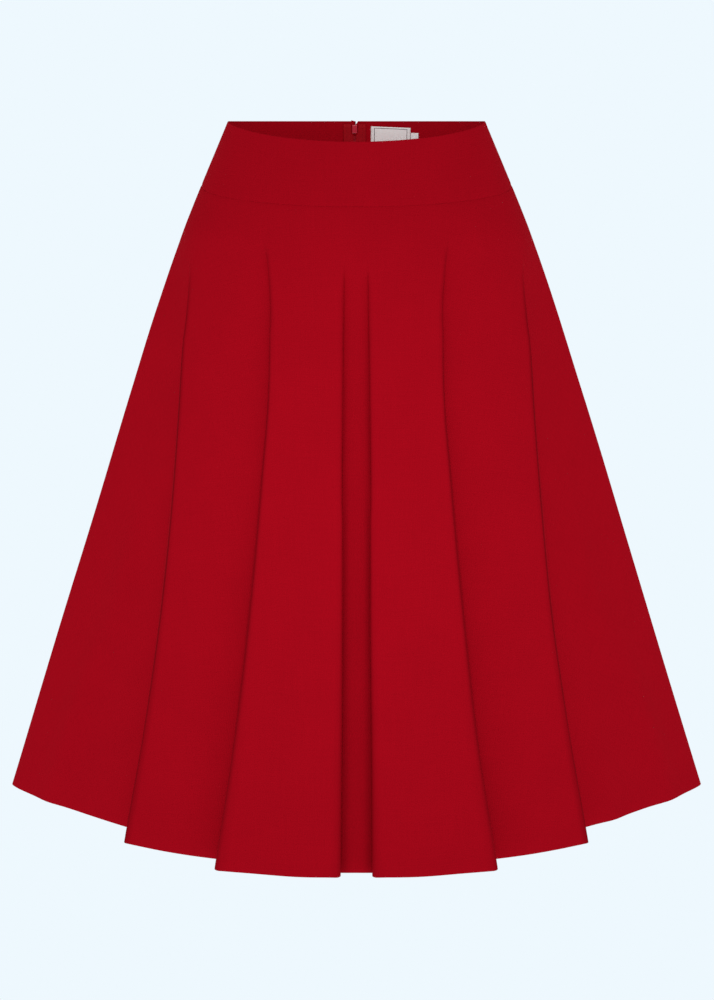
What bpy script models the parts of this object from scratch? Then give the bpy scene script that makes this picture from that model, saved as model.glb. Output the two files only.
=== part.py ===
"""Half-circle skirt on a shaped yoke, filled out as it hangs on the body, with a concealed centre back zip.

Metres, +Z up. The origin is the centre of the waist, level with the side and back waist edge. The wearer
faces -Y, so the wearer's right is -X. A "drop" is a distance below the origin. The cloth is one ring of
columns and rows: level rings give the outline, and a table of folds lowers and turns back the cloth
between its crests. The pieces are cut out of that ring with a small gap at every seam.
"""
import math
from collections import namedtuple

import bmesh
import bpy
from mathutils import Matrix, Vector

# ---------------------------------------------------------------- driving sizes
CLOTH = 0.0014            # thickness of a cloth wall
SEAM_GAP = 0.0003         # between two pieces at a seam
CLEAR = 0.0004            # between a small part and the cloth it lies on

HEM_DROP = 0.695
SEAM_DROP_SIDE = 0.0635   # yoke seam at the sides and round the back
SEAM_DIP_FRONT = 0.0185   # how much lower the yoke seam runs at the centre front
WAIST_DIP_FRONT = 0.0197  # how much lower the waist edge runs at the centre front
WAIST_DIP_POWER = 1.5     # above 1 keeps the dip to the front
OPENING_EASE = 0.030      # over this height it starts gently
BEND_RADIUS = 0.0025      # the tightest bend in a fold, at the outside of the cloth
TURN_DEPTH = 4 * BEND_RADIUS   # a fold this deep has room to turn back under itself
EDGE_RADIUS = 0.0060      # a deep fold's outer edge is rounder
WALL_LEAN = math.radians(11)   # how far a fold's wall leans from straight back near its start
LEAN_LOSS = 0.95          # the share of that lean that is lost between the level below and the hem
LEAN_LOSS_DROP = 0.360
STEP_RUN = 0.0100         # width of a step before it deepens, and its largest share of the half width
STEP_SHARE = 1.4
BEND_SHARE = 0.8          # the share of a fold's columns that lies in its bends
SIDE_CREST_POWER = 2.4    # how hollow the cloth runs up to the crest at each side seam
SIDE_CREST_ROUND = 0.03   # roundness of that crest, as a share of its reach
START_REACH = 0.4         # a fold's width where it starts, as a share of its width at the hem

# Level rings that hold the outermost cloth.
Ring = namedtuple("Ring", "drop half_width front_depth back_depth")
RINGS = (
    Ring(0.000, 0.1305, 0.0915, 0.0915),
    Ring(0.110, 0.1768, 0.1300, 0.1370),
    Ring(0.191, 0.2063, 0.1575, 0.1655),
    Ring(0.274, 0.2330, 0.1840, 0.1905),
    Ring(HEM_DROP, 0.3660, 0.3120, 0.3120),
)

# Folds of one quarter, from its centre line to its side seam. The cloth beyond a fold lies "depth" lower
# at the hem, or higher where depth is negative. A "power" below 1 opens it early on its way to the hem.
# "turn" is how far it turns back under itself there, and "reach" is its half width.
Fold = namedtuple("Fold", "name start depth power turn reach")
FRONT_FOLDS = (
    Fold("centre", 0.128, -0.0135, 0.35, 0.0030, 0.0090),
    Fold("inner", 0.104, 0.0315, 0.62, 0.0360, 0.0190),
    Fold("outer", 0.130, 0.0370, 0.68, 0.0360, 0.0190),
)
BACK_RIGHT_FOLDS = (
    Fold("inner", 0.130, 0.0340, 0.68, 0.0370, 0.0190),
    Fold("outer", 0.150, 0.0360, 0.72, 0.0370, 0.0190),
)
BACK_LEFT_FOLDS = (
    Fold("inner", 0.145, 0.0370, 0.72, 0.0380, 0.0190),
    Fold("outer", 0.125, 0.0320, 0.68, 0.0370, 0.0190),
)

# The way down of each fold: its angle, 0 at the centre line and 90 at the side, at a few drops.
Swing = namedtuple("Swing", "drop inner outer centre", defaults=(0.0,))
FRONT_RIGHT_SWINGS = (
    Swing(0.100, 30.0, 73.2, 3.7),
    Swing(0.160, 24.7, 62.2, 3.5),
    Swing(0.240, 20.7, 54.5, 3.4),
    Swing(0.340, 18.9, 47.8, 3.4),
    Swing(0.460, 17.9, 43.1, 3.2),
    Swing(0.580, 17.8, 40.9, 3.1),
    Swing(HEM_DROP, 18.5, 40.2, 3.1),
)
FRONT_LEFT_SWINGS = (
    Swing(0.100, 30.1, 72.7, 3.5),
    Swing(0.160, 24.7, 62.2, 3.3),
    Swing(0.240, 20.6, 54.5, 3.3),
    Swing(0.340, 18.8, 48.0, 3.4),
    Swing(0.460, 17.9, 43.0, 3.2),
    Swing(0.580, 17.6, 40.8, 3.2),
    Swing(HEM_DROP, 18.4, 40.1, 3.1),
)
BACK_RIGHT_SWINGS = (
    Swing(0.100, 31.5, 59.0),
    Swing(0.240, 26.0, 53.0),
    Swing(0.460, 22.5, 47.5),
    Swing(HEM_DROP, 21.0, 44.0),
)
BACK_LEFT_SWINGS = (
    Swing(0.100, 28.0, 62.0),
    Swing(0.240, 26.5, 56.0),
    Swing(0.460, 24.5, 51.5),
    Swing(HEM_DROP, 24.0, 48.0),
)

# Zip, label and size tab.
ZIP_X = -0.0020           # the zip lies a little to the wearer's right of the centre
ZIP_LENGTH = 0.205
TAPE_WIDTH = 0.012
TAPE_THICK = 0.0009
TAPE_GAP = 0.0011         # between the tape and the inside of the cloth
SLIDER_DROP = 0.0068
LABEL = dict(x_from=0.0153, x_to=0.0574, drop_from=0.0048, drop_to=0.0262)
SIZE_TAB = dict(x_from=0.0580, x_to=0.0658, drop_from=0.0116, drop_to=0.0272)
LABEL_THICK = 0.0010
LABEL_GAP = 0.0010        # between the label and the inside of the cloth

# Half the opening between the back pieces at the zip, which spreads round the slider's neck at the waist.
ZipGap = namedtuple("ZipGap", "drop half_gap")
ZIP_GAPS = (
    ZipGap(0.0000, 0.0036),
    ZipGap(0.0036, 0.0013),
    ZipGap(0.0092, 0.0013),
    ZipGap(0.0120, SEAM_GAP / 2),
)
# The inner edge of each zip tape, which passes the slider and then meets the other tape.
TAPE_EDGES = (
    ZipGap(0.0024, 0.0040),
    ZipGap(0.0070, 0.0031),
    ZipGap(0.0122, 0.0031),
    ZipGap(0.0152, SEAM_GAP / 2),
)

FRONT_YOKE_ROWS = 4
BACK_YOKE_LOWER_ROWS = 4
YOKE_COLUMNS = 10         # in one quarter
SKIRT_ROWS = 13
ROW_EASING = 1.25         # above 1 crowds the rows where the folds begin


# ---------------------------------------------------------------- the form
def along(rows, drop, column):
    """A smooth value of one column of a table at a drop: a cubic through the rows, level slopes joined."""
    drops = [row.drop for row in rows]
    values = [getattr(row, column) for row in rows]
    last = len(rows) - 2
    i = next((k for k in range(last) if drop < drops[k + 1]), last)
    slopes = [(values[k + 1] - values[k]) / (drops[k + 1] - drops[k]) for k in range(last + 1)]
    before = slopes[i] if i == 0 else (slopes[i - 1] + slopes[i]) / 2
    after = slopes[i] if i == last else (slopes[i] + slopes[i + 1]) / 2
    span = drops[i + 1] - drops[i]
    t = (drop - drops[i]) / span
    return ((2 * t**3 - 3 * t**2 + 1) * values[i] + (t**3 - 2 * t**2 + t) * span * before
            + (3 * t**2 - 2 * t**3) * values[i + 1] + (t**3 - t**2) * span * after)


def zip_half_gap(drop):
    """Half the distance between the two back pieces at a drop."""
    for upper, lower in zip(ZIP_GAPS, ZIP_GAPS[1:]):
        if drop < lower.drop:
            t = (drop - upper.drop) / (lower.drop - upper.drop)
            return upper.half_gap + (lower.half_gap - upper.half_gap) * t
    return ZIP_GAPS[-1].half_gap


def smooth(share):
    """An ease from 0 to 1."""
    share = max(0.0, min(1.0, share))
    return share * share * (3 - 2 * share)


def opened(fold, drop):
    """How far a fold has opened at a drop: 0 down to its start, 1 at the hem."""
    fallen = max(0.0, drop - fold.start)
    return (fallen / (HEM_DROP - fold.start)) ** fold.power * smooth(fallen / OPENING_EASE)


# The share of a fold's columns on each stretch of its way: edge, wall, inner bend, turn and last bend.
# A stretch that is about as short as SHORT_STRETCH gets fewer.
STRETCH_SHARES = (0.25, 0.125, 0.125, 0.125, 0.375)
SHORT_STRETCH = 0.003


def with_columns(stretches):
    """Stretches of cloth with their lengths, their bends and their shares of the columns."""
    weights = [share * length / (length + SHORT_STRETCH)
               for (length, bend), share in zip(stretches, STRETCH_SHARES)]
    return [(length, bend, weight / sum(weights)) for (length, bend), weight in zip(stretches, weights)]


def wall_lean(drop):
    """How far a fold's wall leans from straight back at a drop."""
    return WALL_LEAN * (1 - LEAN_LOSS * smooth((drop - LEAN_LOSS_DROP) / (HEM_DROP - LEAN_LOSS_DROP)))


def fold_path(depth, turn, lean, half_width):
    """The way of the cloth through a fold seen from above, in five stretches.

    The cloth bends over an edge, goes down the wall behind it, runs back under itself by turn and bends
    forward again. lean is the wall's tilt from straight back. A fold that is too shallow is only a step.
    """
    edge = math.pi / 2 - lean
    if depth <= TURN_DEPTH:
        run = min(STEP_RUN, STEP_SHARE * half_width) * math.sqrt(1 - depth / TURN_DEPTH)
        bend = 2 * math.atan2(depth, run)
        arc = (run * run + depth * depth) / (4 * depth) * bend if depth > 1e-7 else run / 2
        over = edge / math.pi
        return with_columns([(arc * over, bend * over), (0.0, 0.0), (arc * (1 - over), bend * (1 - over)),
                             (0.0, 0.0), (arc, -bend)])
    radius = min(EDGE_RADIUS, BEND_RADIUS + (depth - TURN_DEPTH) / 2)
    wall = depth - radius * (1 - math.cos(edge)) - BEND_RADIUS * (3 + math.cos(edge))
    back = math.pi - edge
    return with_columns([(radius * edge, edge), (wall / math.sin(edge), 0.0), (BEND_RADIUS * back, back),
                         (turn, 0.0), (BEND_RADIUS * math.pi, -math.pi)])


def walk(path, share):
    """The place along the ring and the depth that a path has reached at a share of its columns."""
    heading = along_ring = deep = 0.0
    for length, bend, columns in path:
        if not columns:
            continue
        part = min(1.0, share / columns)
        gone, turned = length * part, bend * part
        if abs(turned) > 1e-6:
            radius = gone / turned
            along_ring += radius * (math.sin(heading + turned) - math.sin(heading))
            deep -= radius * (math.cos(heading + turned) - math.cos(heading))
        else:
            along_ring += gone * math.cos(heading)
            deep += gone * math.sin(heading)
        heading += turned
        share -= columns
        if share <= 0:
            break
    return along_ring, deep


def fold_curve(path, depth, half_width, place):
    """A point on a fold: its place along the ring from the fold's middle, and how deep it lies."""
    start = -walk(path, 1.0)[0] / 2
    if place < -BEND_SHARE:
        return start + (half_width + start) * (place + BEND_SHARE) / (1 - BEND_SHARE), 0.0
    if place > BEND_SHARE:
        return -start + (half_width + start) * (place - BEND_SHARE) / (1 - BEND_SHARE), depth
    where, deep = walk(path, (place / BEND_SHARE + 1) / 2)
    return start + where, deep


class Quarter:
    """One quarter of the ring, between a centre line and a side seam."""

    def __init__(self, side, front, folds, swings):
        self.side = side                              # -1 on the wearer's right, +1 on the left
        self.front = front
        self.folds = folds
        self.swings = swings

    def half_sizes(self, drop):
        depth = "front_depth" if self.front else "back_depth"
        return along(RINGS, drop, "half_width"), along(RINGS, drop, depth)

    def facing(self, angle, drop):
        """The angle between straight ahead and the way the ring faces."""
        width, depth = self.half_sizes(drop)
        return math.atan2(math.sin(angle) / width, math.cos(angle) / depth)

    def waist_drop(self, angle):
        return WAIST_DIP_FRONT * max(0.0, math.cos(angle)) ** WAIST_DIP_POWER if self.front else 0.0

    def seam_drop(self, angle):
        return SEAM_DROP_SIDE + (SEAM_DIP_FRONT * max(0.0, math.cos(angle)) if self.front else 0.0)

    def point(self, angle, drop, lowered=0.0, slid=0.0):
        """A point on the ring, lowered towards the body and slid along the ring towards the side."""
        width, depth = self.half_sizes(drop)
        across, forward = math.sin(angle), math.cos(angle)
        normal = Vector((across / width, forward / depth)).normalized()
        flat = Vector((width * across, depth * forward)) - normal * lowered
        flat += Vector((normal.y, -normal.x)) * slid
        return Vector((self.side * flat.x, -flat.y if self.front else flat.y, -drop))

    def fold_angle(self, fold, drop):
        return math.radians(along(self.swings, max(drop, self.swings[0].drop), fold.name))

    def stretch(self, angle, drop):
        """Metres along the ring for one radian at an angle."""
        width, depth = self.half_sizes(drop)
        return math.hypot(width * math.cos(angle), depth * math.sin(angle))

    def reach_angle(self, fold, angle, drop):
        reach = fold.reach * (START_REACH + (1 - START_REACH) * math.sqrt(opened(fold, drop)))
        return reach / self.stretch(angle, drop)

    def angles(self, drop):
        """The angle of each column at a drop: steps across the panels, closer steps across the folds."""
        panel_steps = {"centre": 1, "inner": 3, "outer": 5}
        fold_steps = {"centre": 5, "inner": 10, "outer": 10}
        side_steps = 7
        angles = [0.0]
        for fold in self.folds:
            middle = self.fold_angle(fold, drop)
            reach = self.reach_angle(fold, middle, drop)
            angles += steps(angles[-1], middle - reach, panel_steps[fold.name])
            angles += steps(angles[-1], middle + reach, fold_steps[fold.name])
        start = angles[-1]
        side = math.pi / 2
        angles += [side - (side - start) * (1 - k / side_steps) ** 1.3 for k in range(1, side_steps + 1)]
        return angles

    def folded(self, angle, level, drop):
        """The cloth at an angle: level is the drop that sets where the folds lie."""
        lowered = slid = 0.0
        for fold in self.folds:
            middle = self.fold_angle(fold, level)
            reach = self.reach_angle(fold, middle, level)
            place = max(-1.0, min(1.0, (angle - middle) / reach))
            half_width = reach * self.stretch(middle, drop)
            depth = abs(fold.depth) * opened(fold, drop)
            turn = fold.turn * (depth - TURN_DEPTH) / (abs(fold.depth) - TURN_DEPTH)
            mirror = -1 if fold.depth < 0 else 1
            heading = wall_lean(drop) + mirror * self.facing(middle, drop)
            path = fold_path(depth, turn, heading, half_width)
            where, deep = fold_curve(path, depth, half_width, place * mirror)
            lowered += deep
            slid += where * mirror - place * half_width
        start = middle + reach
        if angle > start:
            away = (math.pi / 2 - angle) / (math.pi / 2 - start)
            soft = math.hypot(away, SIDE_CREST_ROUND) - SIDE_CREST_ROUND
            soft /= math.hypot(1, SIDE_CREST_ROUND) - SIDE_CREST_ROUND
            lowered *= 1 - (1 - soft) ** SIDE_CREST_POWER
        return self.point(angle, drop, lowered, slid)


def steps(start, end, count):
    """Equal steps after start, up to and with end."""
    return [start + (end - start) * k / count for k in range(1, count + 1)]


FRONT_RIGHT = Quarter(-1, True, FRONT_FOLDS, FRONT_RIGHT_SWINGS)
FRONT_LEFT = Quarter(1, True, FRONT_FOLDS, FRONT_LEFT_SWINGS)
BACK_RIGHT = Quarter(-1, False, BACK_RIGHT_FOLDS, BACK_RIGHT_SWINGS)
BACK_LEFT = Quarter(1, False, BACK_LEFT_FOLDS, BACK_LEFT_SWINGS)


def join_ring(right_back, right_front, left_front, left_back):
    """One row of the whole ring, from the centre back round the wearer's right to the centre back."""
    return right_back + right_front[-2::-1] + left_front[1:] + left_back[-2::-1]


def yoke_row(share):
    """The yoke's row at a share of the way from the waist edge to the seam."""
    def quarter_row(quarter):
        row = []
        for angle in [0.0] + steps(0.0, math.pi / 2, YOKE_COLUMNS):
            top = quarter.waist_drop(angle)
            row.append(quarter.point(angle, top + (quarter.seam_drop(angle) - top) * share))
        return row
    return join_ring(*(quarter_row(q) for q in (BACK_RIGHT, FRONT_RIGHT, FRONT_LEFT, BACK_LEFT)))


def skirt_row(share):
    """The skirt's row at a share of the way from the yoke seam to the hem."""
    level = SEAM_DROP_SIDE + (HEM_DROP - SEAM_DROP_SIDE) * share

    def quarter_row(quarter):
        row = []
        for angle in quarter.angles(level):
            top = quarter.seam_drop(angle)
            row.append(quarter.folded(angle, level, top + (HEM_DROP - top) * share))
        return row
    return join_ring(*(quarter_row(q) for q in (BACK_RIGHT, FRONT_RIGHT, FRONT_LEFT, BACK_LEFT)))


# ---------------------------------------------------------------- cloth walls
def ring_normals(rows):
    """The outward normal at each point of a closed ring's rows, whose first and last columns coincide."""
    normals = []
    for i, row in enumerate(rows):
        above, below = rows[max(i - 1, 0)], rows[min(i + 1, len(rows) - 1)]
        count = len(row) - 1
        normals.append([(below[j] - above[j]).cross(row[(j + 1) % count] - row[(j - 1) % count]).normalized()
                        for j in range(len(row))])
    return normals


def edge_gap(at_zip, zip_shift, point):
    """How far a piece's edge lies from its seam line, or from the centre back where the zip is."""
    return zip_half_gap(-point.z) + zip_shift if at_zip else SEAM_GAP / 2


def cut_piece(name, rows, first, last, material, top_gap=0.0, bottom_gap=0.0, zip_edge=None):
    """Cut the columns first to last out of a ring and give them the cloth's thickness."""
    normals = ring_normals(rows)
    outer, inner = [], []
    for i, row in enumerate(rows):
        points = [p.copy() for p in row[first:last + 1]]
        along_first = (row[first + 1] - row[first]).normalized()
        along_last = (row[last] - row[last - 1]).normalized()
        points[0] += along_first * edge_gap(zip_edge == "first", -ZIP_X, row[first])
        points[-1] -= along_last * edge_gap(zip_edge == "last", ZIP_X, row[last])
        if i == 0 and top_gap:
            points = [p + (rows[1][first + j] - row[first + j]).normalized() * top_gap
                      for j, p in enumerate(points)]
        if i == len(rows) - 1 and bottom_gap:
            points = [p + (rows[i - 1][first + j] - row[first + j]).normalized() * bottom_gap
                      for j, p in enumerate(points)]
        outer.append(points)
        inner.append([p - normals[i][first + j] * CLOTH for j, p in enumerate(points)])
    return wall(name, outer, inner, material)


def wall(name, outer, inner, material):
    """A closed body between two sheets of points with the same rows and columns."""
    rows, columns = len(outer), len(outer[0])
    mesh = bmesh.new()
    sheets = [[[mesh.verts.new(p) for p in row] for row in sheet] for sheet in (outer, inner)]
    for i in range(rows - 1):
        for j in range(columns - 1):
            for sheet, order in zip(sheets, (1, -1)):
                corners = [sheet[i][j], sheet[i + 1][j], sheet[i + 1][j + 1], sheet[i][j + 1]]
                mesh.faces.new(corners[::order])
    rim = [(i, 0) for i in range(rows - 1)] + [(rows - 1, j) for j in range(columns - 1)]
    rim += [(i, columns - 1) for i in range(rows - 1, 0, -1)] + [(0, j) for j in range(columns - 1, 0, -1)]
    for (i, j), (m, n) in zip(rim, rim[1:] + rim[:1]):
        mesh.faces.new([sheets[0][m][n], sheets[0][i][j], sheets[1][i][j], sheets[1][m][n]])
    return finish(name, mesh, material)


def finish(name, mesh, material, matrix=None, smooth=True):
    """Turn a bmesh into a named object with its material."""
    bmesh.ops.recalc_face_normals(mesh, faces=mesh.faces)
    bmesh.ops.triangulate(mesh, faces=mesh.faces)
    data = bpy.data.meshes.new(name)
    mesh.to_mesh(data)
    mesh.free()
    if smooth:
        data.shade_smooth()
        data.set_sharp_from_angle(angle=math.radians(50))
    data.materials.append(material)
    item = bpy.data.objects.new(name, data)
    bpy.context.collection.objects.link(item)
    if matrix:
        item.matrix_world = matrix
    return item


# ---------------------------------------------------------------- parts inside the waist
def back_wall(x, drop, inset):
    """A point near the centre back, inset from the outer face of the cloth."""
    def surface(at_x, at_drop):
        width, depth = BACK_LEFT.half_sizes(at_drop)
        return Vector((at_x, depth * math.sqrt(1 - (at_x / width) ** 2), -at_drop))
    little = 0.001
    point = surface(x, drop)
    normal = (surface(x + little, drop) - point).cross(surface(x, drop + little) - point).normalized()
    return point + normal * inset if normal.y < 0 else point - normal * inset


def lining_strip(name, edges, inset, thick, material, columns):
    """A strip parallel to the inside of the back. Each of its edges is a drop and the two ends across."""
    outer, inner = [], []
    for drop, x_from, x_to in edges:
        places = [x_from] + steps(x_from, x_to, columns)
        outer.append([back_wall(x, drop, inset) for x in places])
        inner.append([back_wall(x, drop, inset + thick) for x in places])
    return wall(name, outer, inner, material)


def tape_edges(side):
    """The rows of the zip tape on one side of the zip, from the waist down to the zip's end."""
    last = TAPE_EDGES[-1]
    inner_edges = [(edge.drop, edge.half_gap) for edge in TAPE_EDGES]
    inner_edges += [(drop, last.half_gap) for drop in steps(last.drop, ZIP_LENGTH, 9)]
    return [(drop, ZIP_X + side * half_gap, ZIP_X + side * TAPE_WIDTH) for drop, half_gap in inner_edges]


def add_box(mesh, low, high, edge=0.0):
    """Add a box between two corners, with its edges rounded."""
    size = Vector(high) - Vector(low)
    centre = (Vector(high) + Vector(low)) / 2
    made = bmesh.ops.create_cube(mesh, size=1.0, matrix=Matrix.LocRotScale(centre, None, size))
    if edge:
        edges = list({e for v in made["verts"] for e in v.link_edges})
        bmesh.ops.bevel(mesh, geom=edges, offset=edge, segments=2, affect="EDGES", profile=0.6)


def zip_frame():
    """The slider's frame on the back's outer face: X across, Y out of the cloth, Z up along it."""
    little = 0.001
    here, below = back_wall(ZIP_X, SLIDER_DROP, 0), back_wall(ZIP_X, SLIDER_DROP + little, 0)
    up = (here - below).normalized()
    across = Vector((1, 0, 0))
    out = up.cross(across)
    return Matrix((across, out, up)).transposed().to_4x4(), here


def union(name, pieces, material):
    """Join closed bodies that overlap into one."""
    base, others = pieces[0], pieces[1:]
    for other in others:
        cut = base.modifiers.new("join", "BOOLEAN")
        cut.operation = "UNION"
        cut.solver = "EXACT"
        cut.object = other
        bpy.context.view_layer.update()
        data = bpy.data.meshes.new_from_object(base.evaluated_get(bpy.context.evaluated_depsgraph_get()))
        base.modifiers.clear()
        base.data = data
        bpy.data.objects.remove(other)
    base.name = name
    base.data.name = name
    base.data.materials.clear()
    base.data.materials.append(material)
    return base


PIVOT_OUT = 0.0023        # the pull's axis, out from the cloth
BAIL_HALF_WIDTH = 0.0006
BAIL_THICK = 0.0009
PLATE_TOP = 0.0013
PULL_LENGTH = 0.0220
PULL_LEAN = math.radians(2.6)   # the pull's tip leans in to the cloth


def make_slider(material):
    """The zip's slider: a body inside the back, a neck through the zip, and a bail that holds the pull."""
    frame, here = zip_frame()
    matrix = Matrix.Translation(here) @ frame
    blocks = {
        "body": ((-0.0026, -0.0048, -0.0046), (0.0026, -CLOTH - CLEAR, 0.0042), 0.0006),
        "neck": ((-0.0008, -CLOTH - 0.0010, -0.0016), (0.0008, 0.0009, 0.0022), 0.0),
        "plate": ((-0.0015, CLEAR, -0.0028), (0.0015, PLATE_TOP, 0.0034), 0.0003),
        "lower_leg": ((-BAIL_HALF_WIDTH, 0.0009, -0.0027), (BAIL_HALF_WIDTH, 0.0034, -0.0018), 0.0),
        "upper_leg": ((-BAIL_HALF_WIDTH, 0.0009, 0.0018), (BAIL_HALF_WIDTH, 0.0034, 0.0027), 0.0),
        "bar": ((-BAIL_HALF_WIDTH, 0.0032, -0.0027), (BAIL_HALF_WIDTH, 0.0041, 0.0027), 0.0),
    }
    pieces = []
    for name, (low, high, edge) in blocks.items():
        mesh = bmesh.new()
        add_box(mesh, low, high, edge)
        pieces.append(finish("slider_" + name, mesh, material, matrix))
    return union("zip_slider", pieces, material)


def make_pull(material):
    """The pull: a crossbar through the bail, two arms, and a drop-shaped tab. It turns about its crossbar."""
    frame, here = zip_frame()
    matrix = Matrix.Translation(here + frame.to_3x3() @ Vector((0, PIVOT_OUT, 0))) @ frame
    matrix = matrix @ Matrix.Rotation(-PULL_LEAN, 4, "X")
    half_thick = 0.00045
    arm_in, arm_out = 0.0010, 0.0019
    outline = [Vector((arm_out, 0.0, 0.0005))]
    outline += [Vector((arm_out, 0.0, -0.0050)), Vector((0.0025, 0.0, -0.0100))]
    tip_radius = 0.0031
    for k in range(13):
        turn = math.radians(15 - 210 * k / 12)
        outline.append(Vector((tip_radius * math.cos(turn), 0.0,
                               -PULL_LENGTH + tip_radius + tip_radius * math.sin(turn))))
    outline += [Vector((-0.0025, 0.0, -0.0100)), Vector((-arm_out, 0.0, -0.0050))]
    outline += [Vector((-arm_out, 0.0, 0.0005)), Vector((-arm_in, 0.0, 0.0005))]
    outline += [Vector((-arm_in, 0.0, -0.0052)), Vector((arm_in, 0.0, -0.0052)), Vector((arm_in, 0.0, 0.0005))]
    mesh = bmesh.new()
    front = mesh.faces.new([mesh.verts.new(p + Vector((0, half_thick, 0))) for p in outline])
    grown = bmesh.ops.extrude_face_region(mesh, geom=[front])["geom"]
    moved = [v for v in grown if isinstance(v, bmesh.types.BMVert)]
    bmesh.ops.translate(mesh, verts=moved, vec=Vector((0, -2 * half_thick, 0)))
    tab = finish("pull_tab", mesh, material, matrix, smooth=False)
    mesh = bmesh.new()
    lying = Matrix.Rotation(math.pi / 2, 4, "Y")
    bmesh.ops.create_cone(mesh, cap_ends=True, segments=12, radius1=0.0005, radius2=0.0005,
                          depth=2 * arm_out - 0.0001, matrix=lying)
    return union("zip_pull", [tab, finish("pull_bar", mesh, material, matrix)], material)


# ---------------------------------------------------------------- materials
def material(name, colour, roughness, metallic=0.0):
    made = bpy.data.materials.new(name)
    made.use_nodes = True
    shader = made.node_tree.nodes["Principled BSDF"]
    shader.inputs["Base Color"].default_value = (*colour, 1.0)
    shader.inputs["Roughness"].default_value = roughness
    shader.inputs["Metallic"].default_value = metallic
    return made


# ---------------------------------------------------------------- the whole skirt
def build():
    for old in list(bpy.data.objects):
        bpy.data.objects.remove(old)
    red_cloth = material("red_crepe", (0.33, 0.003, 0.010), 0.85)
    yoke_cloth = material("red_crepe_yoke", (0.29, 0.003, 0.008), 0.85)
    red_tape = material("red_zip_tape", (0.25, 0.003, 0.008), 0.8)
    red_enamel = material("red_enamelled_metal", (0.42, 0.02, 0.03), 0.35)
    white_satin = material("white_satin", (0.66, 0.65, 0.64), 0.45)

    half = SEAM_GAP / 2
    quarter = YOKE_COLUMNS
    front_shares = [k / (FRONT_YOKE_ROWS - 1) for k in range(FRONT_YOKE_ROWS)]
    zip_shares = [gap.drop / SEAM_DROP_SIDE for gap in ZIP_GAPS]
    back_shares = zip_shares + steps(zip_shares[-1], 1.0, BACK_YOKE_LOWER_ROWS - 1)
    front_yoke = [yoke_row(share) for share in front_shares]
    back_yoke = [yoke_row(share) for share in back_shares]
    cut_piece("yoke_back_right", back_yoke, 0, quarter, yoke_cloth, bottom_gap=half, zip_edge="first")
    cut_piece("yoke_front", front_yoke, quarter, 3 * quarter, yoke_cloth, bottom_gap=half)
    cut_piece("yoke_back_left", back_yoke, 3 * quarter, 4 * quarter, yoke_cloth, bottom_gap=half,
              zip_edge="last")

    skirt = [skirt_row((k / (SKIRT_ROWS - 1)) ** ROW_EASING) for k in range(SKIRT_ROWS)]
    level = SEAM_DROP_SIDE
    back_right = len(BACK_RIGHT.angles(level)) - 1
    front = len(FRONT_RIGHT.angles(level)) - 1
    back_left = len(BACK_LEFT.angles(level)) - 1
    right_seam, left_seam = back_right, back_right + 2 * front
    cut_piece("skirt_back_right", skirt, 0, right_seam, red_cloth, top_gap=half, zip_edge="first")
    cut_piece("skirt_front", skirt, right_seam, left_seam, red_cloth, top_gap=half)
    cut_piece("skirt_back_left", skirt, left_seam, left_seam + back_left, red_cloth, top_gap=half,
              zip_edge="last")

    for name, side in (("zip_tape_right", -1), ("zip_tape_left", 1)):
        lining_strip(name, tape_edges(side), CLOTH + TAPE_GAP, TAPE_THICK, red_tape, 2)
    make_slider(red_enamel)
    make_pull(red_enamel)
    for name, sizes in (("label", LABEL), ("size_tab", SIZE_TAB)):
        drops = [sizes["drop_from"]] + steps(sizes["drop_from"], sizes["drop_to"], 2)
        edges = [(drop, sizes["x_from"], sizes["x_to"]) for drop in drops]
        lining_strip(name, edges, CLOTH + LABEL_GAP, LABEL_THICK, white_satin, 4)


build()
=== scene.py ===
# %% [markdown]
# # A half-circle skirt on a shaped yoke
# This lesson dresses a fixed frame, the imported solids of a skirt, in cloth that looks like cloth. The
# frame says where everything is, so each piece below goes where its solid is and then takes its place.

# %% Load the frame
import math
from collections import namedtuple

import bmesh
import bpy
from mathutils import Matrix, Vector, noise


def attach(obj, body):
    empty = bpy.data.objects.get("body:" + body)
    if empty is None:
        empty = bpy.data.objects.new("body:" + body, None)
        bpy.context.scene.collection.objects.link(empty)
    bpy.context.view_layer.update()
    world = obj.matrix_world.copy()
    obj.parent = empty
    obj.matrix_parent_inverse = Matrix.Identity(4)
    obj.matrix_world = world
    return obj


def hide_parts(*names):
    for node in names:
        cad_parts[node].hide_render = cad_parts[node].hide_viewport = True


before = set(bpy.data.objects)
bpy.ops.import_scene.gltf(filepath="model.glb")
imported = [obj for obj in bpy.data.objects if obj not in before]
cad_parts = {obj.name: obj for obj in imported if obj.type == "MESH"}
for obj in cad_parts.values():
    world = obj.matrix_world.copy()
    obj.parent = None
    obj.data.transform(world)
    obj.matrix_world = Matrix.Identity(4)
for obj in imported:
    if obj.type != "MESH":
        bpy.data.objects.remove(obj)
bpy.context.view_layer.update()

WORN = "garment"

# %% [markdown]
# ## Camera, floor and light
# A garment is shown from waist height with a portrait lens, so the level waist edge at the back reads as
# a straight line and the hem opens towards the viewer. The camera comes first, because every size below
# is judged through it. The floor is far below the hem, as it is under someone who stands. It is a pale
# disc that fades into a world of the same colour, so there is no horizon. The world casts less light
# than it shows, because light from all sides would wash every fold away. A wide soft spot beside the
# camera does most of the work: whatever turns away from it darkens, and its cone fades out towards the
# corners of the hem, where two small spots take over. Inside the waist, behind the front edge, a faint card of light does what a
# photographer's reflector does there: it lifts the label and the zip out of the shade.

# %% Camera
CAMERA_DISTANCE = 2.4
CAMERA_TILT = math.radians(9.229)
LENS_MM = 83.97

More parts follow.
